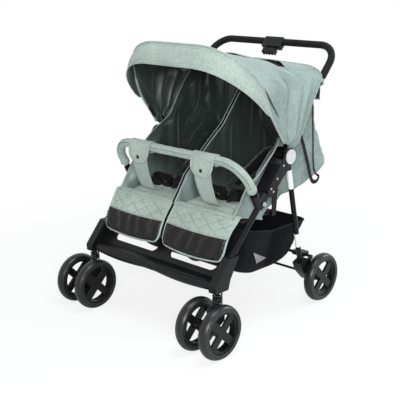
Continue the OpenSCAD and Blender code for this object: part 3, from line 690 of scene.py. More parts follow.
visor_trims = [
    sweep("canopy_bow_sleeve", resample(bow_line, 9), 4.9, "fabric_lining", "canopy", 10),
    sweep("visor_front_piping", resample(visor_rim, 7), 1.8, "fabric_mint", "canopy", 8),
    sweep("canopy_bow_piping", resample(hood_front[3:-3], 9), 3.2, "fabric_mint", "canopy", 8),
    stitches("visor_front_stitches", [visor[2:-2, 2]], "fabric_lining", "canopy"),
    stitches("visor_bow_stitches", [visor[2:-2, 11], visor[2:-2, 12]], "fabric_lining", "canopy"),
]


def flap_points():
    """Vent flap over the top of the hood: its front edge stands up in soft waves."""
    part = hood[28:-28, 44:61]
    n = unit(np.cross(np.gradient(part, axis=0), np.gradient(part, axis=1)))
    n *= np.sign(n[:, :, 2].sum())
    u = np.linspace(0, 1, part.shape[0])[:, None]
    v = np.linspace(0, 1, part.shape[1])[None, :]
    rise = (1 - smooth(v / 0.8)) * (7 + 5 * np.sin(2 * math.pi * 2.4 * u + 0.6))
    rise = rise * smooth(np.minimum(u, 1 - u) / 0.1)
    return part + n * (0.9 + np.maximum(rise, 0))[:, :, None]


flap = flap_points()
flap_cloth = shaded_satin_sheet("canopy_vent_flap", flap, CANOPY_MID, 1.2)
slit = hood[30:-30, 40:49].copy()
slit[:, :, 2] += 0.8
slit_cloth = sheet("canopy_vent_slit", slit, CANOPY_MID, "webbing", "webbing", 0.5)
curtain_top = hood_rear[24:-24]
curtain_low = np.empty_like(curtain_top)
curtain_low[:, 0] = np.interp(curtain_top[:, 0], [-290, 290], [-282, 282])
curtain_low[:, 1:] = (664, 800)
down = np.linspace(0, 1, 16)[None, :, None]
curtain = curtain_top[:, None, :] * (1 - down) + curtain_low[:, None, :] * down
sway = np.sin(curtain_top[:, 0] / 21) + 0.6 * np.sin(curtain_top[:, 0] / 37 + 1)
curtain[:, :, 1] += 5 * sway[:, None] * smooth(down[:, :, 0] / 0.5)
curtain_cloth = shaded_satin_sheet("canopy_rear_curtain", curtain, (0, 420, 860), 1.2, "handle")
curtain_hem = sweep("canopy_curtain_hem", resample(curtain[:, -1], 8), 2.4, "fabric_mint", "handle", 8)
for o in (curtain_cloth, curtain_hem):
    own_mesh(o)
as_sheet(curtain)
for o in (hood_cloth, flap_cloth, slit_cloth, *hood_trims):
    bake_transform(o)
as_sheet(hood)
as_sheet(visor)
as_sheet(flap)


# Seat shells: front and rear edge seen from the side, and places of the walls across

FRONT_EDGE = np.array([(333, 398), (240, 425), (170, 436), (156, 441), (176, 466), (229, 543), (334, 629),
                       (434, 705), (545, 838), (570, 864), (592, 890)], float)
REAR_EDGE = np.array([(337, 398), (378, 433), (517, 474), (632, 491), (731, 534), (740, 548), (710, 617),
                      (662, 691), (656, 761), (656, 890)], float)
WALL_IN, WALL_OUT, WING_OUT = 7.0, 281.5, 308.0
SHELL_LOW, SHELL_HIGH, HEM_ROWS = 400, 888, 11


def ahead_of_leg(y, z):
    """How far a place lies in front of the line of the front leg and the handle."""
    a = math.radians(LEG_LEAN)
    return (HINGE[0] - y) * math.cos(a) + (z - HINGE[1]) * math.sin(a)


def shell_points(side):
    """U-shaped cloth wall at each height: outer wall, rounded rear corners and inner wall."""
    heights = np.r_[np.linspace(SHELL_LOW, 548, 34), np.linspace(554, SHELL_HIGH, 44)]
    fy = np.interp(heights, FRONT_EDGE[:, 1], FRONT_EDGE[:, 0])
    ry = np.interp(heights, REAR_EDGE[:, 1], REAR_EDGE[:, 0])
    kernel = np.array((1, 2, 3, 2, 1)) / 9
    ry = np.convolve(np.pad(ry, 2, mode="edge"), kernel, "valid")
    wall, back = 40, 40
    quarter = np.linspace(0, math.pi / 2, 9)
    rows = []
    for k, z in enumerate(heights):
        y0, y1 = fy[k], max(ry[k], fy[k] + 4)
        r = min(24.0, 0.45 * (y1 - y0))
        out = [(WALL_OUT, y0 + (y1 - r - y0) * i / wall) for i in range(wall)]
        out += [(WALL_OUT - r + r * math.cos(a), y1 - r + r * math.sin(a)) for a in quarter]
        out += [(WALL_OUT - r + (WALL_IN + 2 * r - WALL_OUT) * i / back, y1) for i in range(1, back)]
        out += [(WALL_IN + r - r * math.sin(a), y1 - r + r * math.cos(a)) for a in quarter]
        out += [(WALL_IN, y1 - r + (y0 - y1 + r) * i / wall) for i in range(1, wall + 1)]
        rows.append([(x, y, z) for x, y in out])
    p = np.array(rows).transpose(1, 0, 2)
    n = normals(p)
    n *= np.sign(n[8, 50, 0])
    x, y, z = p[:, :, 0], p[:, :, 1], p[:, :, 2]
    d = ahead_of_leg(y, z)
    u = np.linspace(0, 1, p.shape[0])[:, None]
    v = (z - SHELL_LOW) / (SHELL_HIGH - SHELL_LOW)
    run = np.cumsum(np.r_[np.zeros((1, p.shape[1])), np.linalg.norm(np.diff(p, axis=0), axis=2)], axis=0)
    outer = smooth((x - 200) / 60)
    inner = smooth((60 - x) / 40)
    behind = smooth((-d - 34) / 40) * smooth((y - 470) / 60)
    high = smooth((800 - z) / 60)
    side_folds = 7 * np.sin(2 * math.pi * (run / 165 + 0.9 * v)) + 8 * bumps(u * 3.4, v * 1.6, 11, 7)
    side_folds += 4 * np.sin(2 * math.pi * (run / 62 - 0.6 * v)) + 4 * bumps(u * 8, v * 4.5, 23, 7)
    side_folds *= 0.25 + 0.75 * smooth((ry[None, :] - y) / 80)
    walk = np.where(inner > 0.5, y, run + fy[None, :])
    drapes = np.sin(math.pi * (walk / 104 + 0.25 * np.sin(4 * v))) ** 2
    drapes += 0.6 * np.sin(math.pi * (walk / 71 + 0.5 * v)) ** 2
    gathers = smooth((0.06 - v) / 0.06) * 3 * np.sin(2 * math.pi * run / 26)
    back_wall = (1 - outer) * (1 - inner)
    move = behind * high * np.clip(side_folds, -14, 9) * outer
    move -= 15 * drapes * back_wall * smooth((z - 560) / 60)
    move -= 11 * drapes * outer * (1 - behind) * smooth((z - 430) / 50) * smooth((y - fy[None, :]) / 30)
    move -= 8.0 * drapes * inner * smooth((y - fy[None, :]) / 30)
    move += gathers * outer * behind
    p = p + n * move[:, :, None]
    flare = (WING_OUT - WALL_OUT) * smooth((d - 32) / 24) * outer * (0.45 + 0.55 * smooth((y - 232) / 46))
    p[:, :, 0] = np.maximum(p[:, :, 0] + flare, 3.0)
    p[:, :, 0] *= side
    return p


def crumple(o):
    """Cloth and straps behind the seats, each given a mesh of its own."""
    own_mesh(o)


for side, word in SIDES:
    p = shell_points(side)
    o = shaded_satin_sheet("shell_cloth_" + word, p, (side * SEAT_X, 520, 600), 1.4, "front_frame")
    o.data.materials[1] = shell_lining
    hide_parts("shell_" + word)
    trims = []
    edges = (("piping_outer", p[0, HEM_ROWS:], 2.2), ("piping_inner", p[-1, HEM_ROWS:], 2.2),
             ("hem", p[2:-42, 0], 1.6), ("top_piping", p[:, -1], 2.0))
    for part, path, radius in edges:
        name = "shell_%s_%s" % (part, word)
        trims.append(sweep(name, resample(path, 8), radius, "fabric_mint", "front_frame", 8))
    if side > 0:
        edge = p[-1, HEM_ROWS:] * np.array((0, 1, 1))
        trims.append(sweep("shell_divider_binding", resample(edge, 8), 4.6, "webbing", "front_frame", 10))
    for x in (o, *trims):
        crumple(x)
    as_sheet(p)


# Padded pieces

def blob(half, square_plan=0.3, square_side=0.45, nu=48, nv=24):
    """Closed rounded block, as points and faces around the origin, in millimetres."""
    def power(c, e):
        return math.copysign(abs(c) ** e, c)
    verts, faces = [], []
    for j in range(1, nv):
        b = -math.pi / 2 + math.pi * j / nv
        for i in range(nu):
            a = 2 * math.pi * i / nu
            ring = power(math.cos(b), square_side)
            verts.append((half[0] * ring * power(math.cos(a), square_plan),
                          half[1] * ring * power(math.sin(a), square_plan),
                          half[2] * power(math.sin(b), square_side)))
    for j in range(nv - 2):
        for i in range(nu):
            k = (i + 1) % nu
            faces.append((j * nu + i, j * nu + k, (j + 1) * nu + k, (j + 1) * nu + i))
    low, high = len(verts), len(verts) + 1
    verts += [(0, 0, -half[2]), (0, 0, half[2])]
    for i in range(nu):
        k = (i + 1) % nu
        faces.append((low, k, i))
        faces.append((high, (nv - 2) * nu + i, (nv - 2) * nu + k))
    return np.array(verts), faces


def rounded_block(name, half, place, slot, body=None, plan=0.3, sides=0.45, turn=None):
    v, f = blob(half, plan, sides)
    if turn is not None:
        v = v @ np.asarray(turn).T
    return piece(name, mm(v + np.asarray(place)), f, slot, body)


def inflated(half, voxel, pressure, cap):
    """A cushion blown up by cloth simulation from a smaller block, as points and faces in millimetres."""
    v, f = blob(half, 0.22, 0.5)
    data = bpy.data.meshes.new("pad")
    data.from_pydata([tuple(p) for p in v / 1000], [], f)
    o = bpy.data.objects.new("pad", data)
    scene.collection.objects.link(o)
    r = o.modifiers.new("remesh", "REMESH")
    r.mode = "VOXEL"
    r.voxel_size = voxel / 1000
    graph = bpy.context.evaluated_depsgraph_get()
    data = bpy.data.meshes.new_from_object(o.evaluated_get(graph))
    o.modifiers.clear()
    o.data = data
    start_points = np.array([p.co for p in data.vertices])
    c = o.modifiers.new("cloth", "CLOTH")
    c.settings.use_pressure = True
    c.settings.uniform_pressure_force = pressure
    c.settings.effector_weights.gravity = 0
    c.settings.quality = 5
    for f_no in range(1, 21):
        scene.frame_set(f_no)
    graph = bpy.context.evaluated_depsgraph_get()
    points = np.array([p.co for p in o.evaluated_get(graph).data.vertices])
    scene.frame_set(1)
    move = points - start_points
    far = np.linalg.norm(move, axis=1)
    points = start_points + move * np.minimum(1, cap / 1000 / np.maximum(far, 1e-9))[:, None]
    faces = [tuple(p.vertices) for p in data.polygons]
    bpy.data.objects.remove(o)
    return points * 1000, faces


def cushion(name, points, faces, slot, body, side):
    """A cushion from the right one's points; side is -1 for its mirror image on the left."""
    o = piece(name, mm(points * np.array((side, 1, 1))), [q[::side] for q in faces], slot, body)
    soft = o.modifiers.new("soft", "SUBSURF")
    soft.render_levels = 1
    soft.levels = 1
    return o


def squarish(a):
    """Outline of a square with well rounded corners, at the angles a, as places across and along."""
    return [np.sign(w) * np.abs(w) ** 0.22 for w in (np.cos(a), np.sin(a))]


SEAT_MID = np.array((SEAT_X, 265.0, 441.0))
seat_p, seat_f = inflated((121, 82, 14), 5.5, 4.0, 8.0)
_, deep, high = seat_p.T
seam = np.exp(-((deep + 36) / 7) ** 2) + np.exp(-((deep - 27) / 7) ** 2)
seat_p[:, 2] = np.clip(high - np.where(high > 0, 4.0 * seam, 0), -18.2, 18.6)
seat_p = seat_p + SEAT_MID


def seat_top(y):
    """Height of the seat's upper face at a distance from the front axle."""
    near = np.abs(seat_p[:, 1] - y) < 5
    return seat_p[near, 2].max()


BACK_PIN = np.array((SEAT_X, 396.0, 412.0))
BACK_ALONG = lean_dir(66)
BACK_OUT = np.array((0, -BACK_ALONG[2], BACK_ALONG[1]))
BACK_MID = BACK_PIN + BACK_ALONG * 181 + BACK_OUT * 40
back_p, back_f = inflated((118, 152, 11), 5.5, 4.0, 7.0)
_, deep, high = back_p.T
seam = sum(np.exp(-((deep - c) / 7) ** 2) for c in (-80, 0, 80))
back_p[:, 2] = np.clip(high - np.where(high > 0, 4.5 * seam, 0), -15.5, 15.5)
back_p = back_p[:, :1] * ACROSS + back_p[:, 1:2] * BACK_ALONG + back_p[:, 2:] * BACK_OUT + BACK_MID


def edge_of(o, middle, along):
    """Loop around the widest outline of a right cushion's finished mesh, half sunk into it."""
    finished = o.evaluated_get(bpy.context.evaluated_depsgraph_get()).data
    p = np.array([v.co for v in finished.vertices]) * 1000 + np.array((0, MID_Y, 0)) - middle
    path = middle
    outline = squarish(np.linspace(0, 2 * math.pi, 120, endpoint=False))
    for way, shape, d in zip((ACROSS, along), outline, (p[:, 0], p @ along)):
        place = shape * ((d.max() - d.min()) / 2 - 0.8) + (d.max() + d.min()) / 2
        path = path + place[:, None] * way
    return path


for side, word in SIDES:
    seat = cushion("seat_cushion_" + word, seat_p, seat_f, "fabric_mint", "front_frame", side)
    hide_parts("seat_" + word)
    back = cushion("back_cushion_" + word, back_p, back_f, "fabric_lining", "backrest_" + word, side)
    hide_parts("back_" + word)
seat_edge = edge_of(seat, SEAT_MID, np.array((0, 1, 0)))
back_edge = edge_of(back, BACK_MID, BACK_ALONG)
STRAP_RISE = ((-0.9, 15), (-0.6, 17.5), (-0.3, 18), (0, 16.5), (0.3, 18), (0.6, 17.5), (0.85, 15))

for side, word in SIDES:
    flip = np.array((side, 1, 1))
    body = "backrest_" + word
    sweep("seat_piping_" + word, seat_edge * flip, 1.8, "fabric_mint", "front_frame", 8, True)
    sweep("back_piping_" + word, back_edge * flip, 1.8, "fabric_lining", body, 8, True)
    for k, x in enumerate((-78, 78)):
        pin = BACK_PIN + x * ACROSS
        path = [pin + BACK_ALONG * 52 + BACK_OUT * 22, pin + BACK_ALONG * 46 + BACK_OUT * 4]
        path += [pin + 12 * (BACK_ALONG * math.cos(a) + BACK_OUT * math.sin(a))
                 for a in np.linspace(0.6, 2 * math.pi - 0.6, 30)]
        ribbon("back_arm_%s_%d" % (word, k), np.array(path) * flip, ACROSS, 14, 3, "plastic_black", body)
    for k, x in enumerate((-52, 52)):
        path = [BACK_MID + x * (1 + 0.1 * math.sin(v * 3)) * ACROSS + BACK_ALONG * (v * 150) + BACK_OUT * h
                for v, h in STRAP_RISE]
        name = "%s_%d" % (word, k)
        ribbon("shoulder_strap_" + name, curve(path) * flip, ACROSS, 26, 2.4, "webbing", body)
        pad = (curve(path[2:6]) + BACK_OUT * 3.4) * flip
        ribbon("shoulder_pad_" + name, pad, ACROSS, 40, 7, "webbing", body)


# Leg rests

REST_FACE = curve([(0, 181, 455), (0, 168, 450), (0, 151, 431), (0, 128, 402), (0, 108, 369), (0, 95, 337),
                   (0, 84, 303), (0, 81, 296)], 2.0)
REST_STEPS = np.arange(len(REST_FACE))
REST_X, REST_HALF, REST_LONG = 157.5, 145, 190
COVER_FROM, COVER_TO = 0.556, 0.985
QUILT_STEP, QUILT_SLOPE = 44.0, 0.62


def rest_face(s):
    """Place of the leg rests' face, from the front axle and the floor, a number of steps down."""
    return np.array([np.interp(s, REST_STEPS, REST_FACE[:, k]) for k in (1, 2)])


def rest_point(u, v, off):
    """Point on a right leg rest: u across from -1 to 1, v down from 0 to 1, off in front of the face."""
    s = np.clip(v * (1 - 0.05 * u * u), 0, 1) * (len(REST_FACE) - 1)
    y, z = rest_face(s)
    dy, dz = rest_face(s + 3) - rest_face(s - 3)
    norm = np.hypot(dy, dz) + 1e-9
    low = np.clip((v - 0.78) / 0.22, 0, 1)
    narrow = 1 - 0.15 * (1 - np.sqrt(np.maximum(0, 1 - low * low)))
    flare = 5 * (1 - smooth(v / 0.5))
    x = REST_X + flare + (147 + flare) * u * narrow
    return np.stack([x, y + off * dz / norm, z - off * dy / norm], -1)


def quilt_lines():
    """Crossing sewing lines over the upper half, as rows of places across and down."""
    rows = []
    x = np.linspace(-133, 133, 90)
    for way in (1, -1):
        for k in range(-3, 8):
            y = QUILT_STEP * k - way * QUILT_SLOPE * x
            inside = (y > REST_LONG * 0.165) & (y < REST_LONG * (COVER_FROM - 0.03))
            if inside.sum() > 4:
                rows.append((x[inside] / REST_HALF, y[inside] / REST_LONG))
    return rows


def rest_pad():
    """Quilted pad, as points and faces: a front and a rear grid joined along their rim."""
    nu, nv = 130, 92
    u, v = np.meshgrid(np.linspace(-1, 1, nu), np.linspace(0, 1, nv), indexing="ij")
    crown = np.sqrt(np.maximum(0, 1 - np.abs(u) ** 6)) * np.sqrt(np.maximum(0, 1 - np.abs(2 * v - 1) ** 8))
    quilt = 0
    for way in (QUILT_SLOPE, -QUILT_SLOPE):
        phase = (REST_HALF * u * way + REST_LONG * v) / QUILT_STEP
        near = np.abs(phase - np.round(phase)) * QUILT_STEP
        quilt = np.maximum(quilt, np.exp(-(near / 4.0) ** 2))
    upper = smooth((COVER_FROM - 0.02 - v) / 0.03) * smooth((v - 0.16) / 0.03)
    upper = upper * smooth((0.93 - np.abs(u)) / 0.03)
    seam = np.exp(-((v - 0.145) / 0.012) ** 2) + np.exp(-((np.abs(u) - 0.945) / 0.012) ** 2)
    seam = seam + np.exp(-((v - COVER_FROM + 0.015) / 0.012) ** 2)
    front = crown * (7.0 - 3.4 * quilt * upper - 1.6 * seam + 0.7 * bumps(u * 1.5, v * 1.5, 3, 6))
    verts = np.vstack([rest_point(u, v, off).reshape(-1, 3) for off in (front - 6, -6 - crown * 6)])
    n = nu * nv
    faces = grid_faces(nu, nv)
    faces += [tuple(n + i for i in reversed(q)) for q in faces]
    rim = [i * nv for i in range(nu)] + [(nu - 1) * nv + j for j in range(1, nv)]
    rim += [i * nv + nv - 1 for i in range(nu - 2, -1, -1)] + [j for j in range(nv - 2, 0, -1)]
    for k in range(len(rim)):
        a, b = rim[k], rim[(k + 1) % len(rim)]
        faces.append((a, b, n + b, n + a))
    return verts, faces


def rest_cover():
    """Wipe-clean panel on the lower half, drawn in along its seams."""
    nu, nv = 110, 48
    a = np.linspace(-1, 1, nu)[:, None]
    b = np.linspace(0, 1, nv)[None, :]
    v = COVER_FROM + (COVER_TO - COVER_FROM) * b + 0 * a
    u = COVER_TO * a + 0 * b
    edge = np.minimum(np.minimum(b, 1 - b) * 2.2, (1 - np.abs(a)) * 3.5)
    puff = np.sqrt(np.clip(edge / 0.5, 0, 1))
    pucker = np.sin(a * 40 + 3 * np.sin(a * 9)) * np.exp(-((1 - b) / 0.45) ** 2)
    pucker = pucker + 0.7 * np.sin(a * 26 + 1) * np.exp(-(b / 0.25) ** 2)
    folds = 2.6 * np.sin(13 * a + 2.6 * b + 2 * np.sin(3 * a)) + 2.4 * bumps(a * 2.6, b * 1.8, 17, 6)
    off = 0.6 + 7.0 * puff + 4.0 * pucker * puff * (1.15 - puff) + folds * puff
    return rest_point(u, v, off)


rest_v, rest_f = rest_pad()
cover_points = rest_cover()
border = np.vstack([rest_point(np.full(60, -1.0), np.linspace(0.1, 1, 60), -3),
                    rest_point(np.linspace(-1, 1, 60)[1:], np.ones(59), -3),
                    rest_point(np.full(60, 1.0), np.linspace(1, 0.1, 60), -3)[1:]])
sewn = np.linspace(-0.93, 0.93, 80)
for side, word in SIDES:
    flip = np.array((side, 1, 1))
    o = piece("legrest_pad_" + word, mm(rest_v * flip), rest_f, "fabric_mint", "front_frame")
    tidy_normals(o)
    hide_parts("legrest_" + word)
    cover = sheet("legrest_cover_" + word, cover_points * flip, (side * 154, 300, 380), "pvc_black",
                  "pvc_black", 0.9, "front_frame")
    sweep("legrest_piping_" + word, resample(border, 6) * flip, 4.0, "fabric_mint", "front_frame", 10)
    rows = [rest_point(sewn, np.full(80, v), 0.3) * flip for v in (0.13, COVER_FROM - 0.022)]
    stitches("legrest_stitches_" + word, rows, "fabric_lining", "front_frame")
    rows = [rest_point(u, v, -2.0) * flip for u, v in quilt_lines()]
    stitches("legrest_quilting_" + word, rows, "fabric_lining", "front_frame", 4.0, 2.0, 0.5)
    for k, v in enumerate((0.66, 0.72, 0.78)):
        ends = rest_point(np.array((0.94, 1.0)), np.array((v, v + 0.02)), np.array((3.5, 0.5)))
        path = curve([ends[0], ends.mean(0) + np.array((2, -5, 2)), ends[1]], 2) * flip
        sweep("legrest_loop_%s_%d" % (word, k), path, 1.0, "webbing", "front_frame", 8)
    as_sheet(cover_points)


# Footrest and tyres: edges of a footrest window across, and its lower edge down the leg

WINDOW_IN, WINDOW_OUT, WINDOW_LOW = 32, 264, 486


def footrest_place(x, along, off):
    """Place on the footrest's leaning back: along the leg from the hinge, off in front of its middle."""
    _, lean, rise = lean_dir(LEG_LEAN)
    under = 34 - off
    return np.array((x, HINGE[0] - along * lean + under * rise, HINGE[1] - along * rise - under * lean))


def footrest_corner(name, x, way, side, radius=26.0):
    """Moulded rounding in a lower corner of a window; way is the direction into the window."""
    arc = [(radius * (1 - math.sin(a)), radius * (1 - math.cos(a))) for a in np.linspace(0, math.pi / 2, 12)]
    outline = [(-2.0, -2.0), (radius, -2.0), *arc, (-2.0, radius)]
    verts = []
    for off in (-5.9, -4.6, 4.6, 5.9):
        shrink = 1.2 if abs(off) > 5 else 0.0
        for p, q in outline:
            verts.append(footrest_place(side * (x + way * (p - shrink)), WINDOW_LOW - (q - shrink), off))
    k = len(outline)
    faces = grid_faces(4, k, False, True)
    faces.append(tuple(range(k)))
    faces.append(tuple(3 * k + j for j in range(k))[::-1])
    o = piece(name, mm(verts), faces, "plastic_black", "front_frame")
    tidy_normals(o)
    o.data.polygons.foreach_set("use_smooth", [False] * len(o.data.polygons))


for side, word in SIDES:
    footrest_corner("footrest_corner_inner_" + word, WINDOW_IN, 1, side)
    footrest_corner("footrest_corner_outer_" + word, WINDOW_OUT, -1, side)
    t = np.linspace(0, 1, 60)
    bow = np.sin(math.pi * t) ** 0.8
    nose = np.stack([side * (17 + 283 * t), 45 - 7 * bow, 231 - 5 * bow], 1)
    sweep("footrest_nose_" + word, nose, 15.2 + 0.6 * bow, "plastic_black", "front_frame", 28)

WHEELS = [("rear_wheel_" + word, side * 329, 660) for side, word in SIDES]
WHEELS += [("wheel_%s_%s" % (word, end), side * (CASTER_X + out * 53), 0)
           for side, word in SIDES for end, out in (("outer", 1), ("inner", -1))]
turn = np.linspace(0, 2 * math.pi, 97)[:-1]
for body, x, y in WHEELS:
    for k in (-1, 1):
        for radius, wire in ((88.6, 1.3), (80.5, 0.9)):
            ring = np.stack([0 * turn + x + k * 17.7, y + radius * np.cos(turn),
                             WHEEL_RADIUS + radius * np.sin(turn)], 1)
            sweep("tyre_bead_%s_%d_%d" % (body, k + 1, radius), ring, wire, "tyre", body, 8, True)


# Bumper, grip and springs

def bail_path(half, length, bend, low, base, lean, stop=0.0):
    """Right arm, bend and top of a bent bar, as a path that ends at the given distance from the middle."""
    rows = [(half, a) for a in np.linspace(low, length - bend, 8)]
    rows += [(half - bend + bend * math.cos(a), length - bend + bend * math.sin(a))
             for a in np.linspace(0, math.pi / 2, 40)[1:]]
    rows += [(x, length) for x in np.linspace(half - bend, stop, 40)[1:]]
    return in_plane(rows, base, lean)


right = bail_path(325, BUMPER_LENGTH, 95, 72, BUMPER, BUMPER_LEAN)
bumper_line = resample(np.vstack([right, right[::-1][1:] * np.array((-1, 1, 1))]), 5)


def bumper_swell(f, g):
    wave = 0.7 * math.sin(40 * f + 5 * math.sin(6.28 * g)) + 0.5 * math.sin(95 * f - 4 * math.cos(6.28 * g))
    return 0.5 * wave


bumper_soft = sweep("bumper_padding", bumper_line, 16.6, "fabric_mint", "bumper", 28, False, bumper_swell)
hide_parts("bumper_cover")
bumper_up = lean_dir(BUMPER_LEAN)
above = np.array((0, bumper_up[2], -bumper_up[1]))
outward = unit(np.cross(above, np.gradient(bumper_line, axis=0)))
outward *= np.sign(outward[len(outward) // 2] @ bumper_up)
seam_line = bumper_line + (outward * 0.65 - above * 0.76) * 16.9
stitches("bumper_seam_stitches", [seam_line[3:-3]], "webbing", "bumper", 6, 3, 1.1)
for k, ends in enumerate((bumper_line[[0, 2]], bumper_line[[-3, -1]])):
    sweep("bumper_cuff_%d" % k, resample(ends, 4), 18.2, "fabric_mint", "bumper", 24)

foam_right = resample(bail_path(302, 496, 80, 353, HINGE, HANDLE_LEAN, 46.5), 6)
for side, word in SIDES:
    o = sweep("grip_foam_" + word, foam_right * np.array((side, 1, 1)), 13.9, "foam", "handle", 24)
    if side > 0:
        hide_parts("handle_foam")

turns = np.linspace(0, 1, 200)
for side, word in SIDES:
    a = 2 * math.pi * 5.6 * turns
    rise = turns + 0.06 * np.sin(2 * math.pi * turns)
    coil = np.stack([side * CASTER_X + 15.5 * np.cos(a), 46 + 15.5 * np.sin(a), 159.6 + 53.4 * rise], 1)
    o = sweep("spring_coil_" + word, coil, 2.8, "spring_black", "front_frame", 10)
    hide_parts("spring_" + word)
    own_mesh(o)


# Straps

RECLINE_ROUTE = [(283.6, 628, 868), (287, 620, 816), (293, 611, 770), (296, 616, 660), (296, 624, 560),
                 (296, 640, 520), (296, 664, 503), (296, 652, 487), (296, 628, 488), (295, 612, 508),
                 (294, 590, 568), (293, 565, 630), (290, 540, 690)]
LAP_STRAP = (34, 286, 5), (62, 298, 4.4), (92, 314, 2.2), (118, 334, -1)
HARNESS_TAIL = (30, 268, 5.2), (50, 258, 15), (78, 268, 27), (74, 298, 30), (44, 320, 16), (26, 330, 4)
HARNESS_LOOP = (24, 300, 4), (22, 304, 20), (32, 316, 32), (46, 326, 20), (50, 326, 4)
_, TOP_Y, TOP_Z = np.array((0, *BUMPER)) + BUMPER_LENGTH * bumper_up
for side, word in SIDES:
    x = side * 161
    ring = 20.0
    front = TOP_Y - ring
    low = curve([(x, 236, seat_top(236) + 2), (x, 205, seat_top(205) + 2.6), (x, 184, 476), (x, 165, 515),
                 (x, 150, 556), (x, front - 0.5, TOP_Z - 42), (x, front, TOP_Z - 10)])
    width = np.interp(np.linspace(0, 1, len(low)), [0, 0.2, 0.6, 1], [72, 74, 82, 82])
    lower = ribbon("crotch_strap_" + word, low, ACROSS, width, 3.6, "fabric_mint")
    hems = [low + (k * (width / 2 - 6))[:, None] * ACROSS for k in (-1, 1)]
    hems = [h + np.cross(np.gradient(h, axis=0) / 6, -ACROSS) * 2.0 for h in hems]
    seams = stitches("crotch_strap_stitches_" + word, hems, "fabric_lining")
    for o in (lower, seams):
        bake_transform(o)
    turn = [(x, TOP_Y + ring * math.sin(a), TOP_Z + ring * math.cos(a))
            for a in np.linspace(math.radians(205), math.radians(-90), 40)]
    flap_path = [(p[0], p[1] - 0.4, p[2]) for p in turn]
    flap_path += [(x, front - 4.4, TOP_Z - 14), (x, front - 7.0, TOP_Z - 30), (x, front - 8.0, TOP_Z - 46),
                  (x, front - 8.4, TOP_Z - 64)]
    flap_path = resample(flap_path, 3)
    tail = np.linspace(1, 0, len(flap_path)) * np.linalg.norm(np.diff(flap_path, axis=0), axis=1).sum()
    width = 104 * np.sqrt(np.clip(1 - np.clip((46 - tail) / 46, 0, 1) ** 2, 0.004, 1))
    ribbon("crotch_flap_" + word, flap_path, ACROSS, width, 3.0, "fabric_mint", "bumper")
    rims = []
    for inset in (0.5, 9.0):
        keep = width > 2 * inset + 6
        half = (width[keep] / 2 - inset)[:, None] * ACROSS
        rims.append(np.vstack([flap_path[keep] + half, (flap_path[keep] - half)[::-1][1:]]))
    sweep("crotch_flap_piping_" + word, resample(rims[0], 4), 2.3, "fabric_mint", "bumper", 8)
    hem = rims[1][rims[1][:, 2] < TOP_Z + 8] + np.array((0, -1.8, 0))
    stitches("crotch_flap_stitches_" + word, [hem[hem[:, 1] < TOP_Y]], "fabric_lining", "bumper")
    snap = rounded_block("crotch_snap_" + word, (6.4, 2.2, 6.4), (x, front - 10.0, TOP_Z - 40),
                         "plastic_black", "bumper", 0.9, 0.6)
    if side > 0:
        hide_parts("strap_snaps")
        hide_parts("crotch_straps")
    mid = side * SEAT_X
    z = seat_top(280)
    body = rounded_block("buckle_" + word, (21, 17, 6.5), (mid, 278, z + 7), "plastic_black",
                         "front_frame", 0.35, 0.5)
    rounded_block("buckle_button_" + word, (8, 8, 2.4), (mid, 276, z + 13), "plastic_black",
                  "front_frame", 0.8, 0.5)
    for k in (-1, 1):
        name = "%s_%d" % (word, k + 1)
        rounded_block("buckle_tab_" + name, (11, 12, 3.6), (mid + k * 28, 285, z + 5.5), "plastic_black",
                      "front_frame", 0.4, 0.5)
        belts = (("lap_strap_", LAP_STRAP, (-k * 0.4, 1, 0), 25, 2.2),
                 ("harness_tail_", HARNESS_TAIL, (0.2, 0.5, 0.85), 24, 2.2),
                 ("harness_loop_", HARNESS_LOOP, (1, 0.3 * k, 0), 24, 4.0))
        for part, route, spread, broad, thick in belts:
            path = curve([(mid + k * x, y, z + up) for x, y, up in route])
            ribbon(part + name, path, spread, broad, thick, "webbing", "front_frame")
    if side > 0:
        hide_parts("buckles", "lap_straps")

for side, word in SIDES:
    path = curve(np.array(RECLINE_ROUTE) * np.array((side, 1, 1)))
    flat = np.cross(np.gradient(path, axis=0), ACROSS)
    wide = np.interp(np.linspace(0, 1, len(path)), [0, 0.55, 0.66, 1], [8, 8, 17, 17])
    o = ribbon("recline_strap_" + word, path, flat, wide, 1.8, "webbing", "front_frame")
    crumple(o)
    if side > 0:
        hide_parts("recline_straps")
    up = lean_dir(HANDLE_LEAN)
    rise = np.cross(up, ACROSS)
    tie = np.array((side * 302, *HINGE)) + up * 334
    ring = [tie + 12.4 * (ACROSS * math.cos(a) + rise * math.sin(a)) for a in np.linspace(0, 6.5, 48)]
    ribbon("canopy_tie_" + word, ring, up, 16, 2.2, "fabric_mint", "handle")
    knot = tie + rise * 15 * np.sign(rise[1])
    rounded_block("canopy_tie_knot_" + word, (7, 6, 9), knot, "fabric_mint", "handle", 0.6, 0.7)


# Basket

BASKET_MID = (0, 420, 260)
BASKET_FLOOR = np.array((0, 412, 173.0))


def eased(x, places, values, width=0.08):
    """Value between given points from 0 to 1, with the corners rounded off."""
    reach = np.minimum(width, np.minimum(x, 1 - x))
    return sum(np.interp(x + reach * k, places, values) for k in np.linspace(-1, 1, 9)) / 9


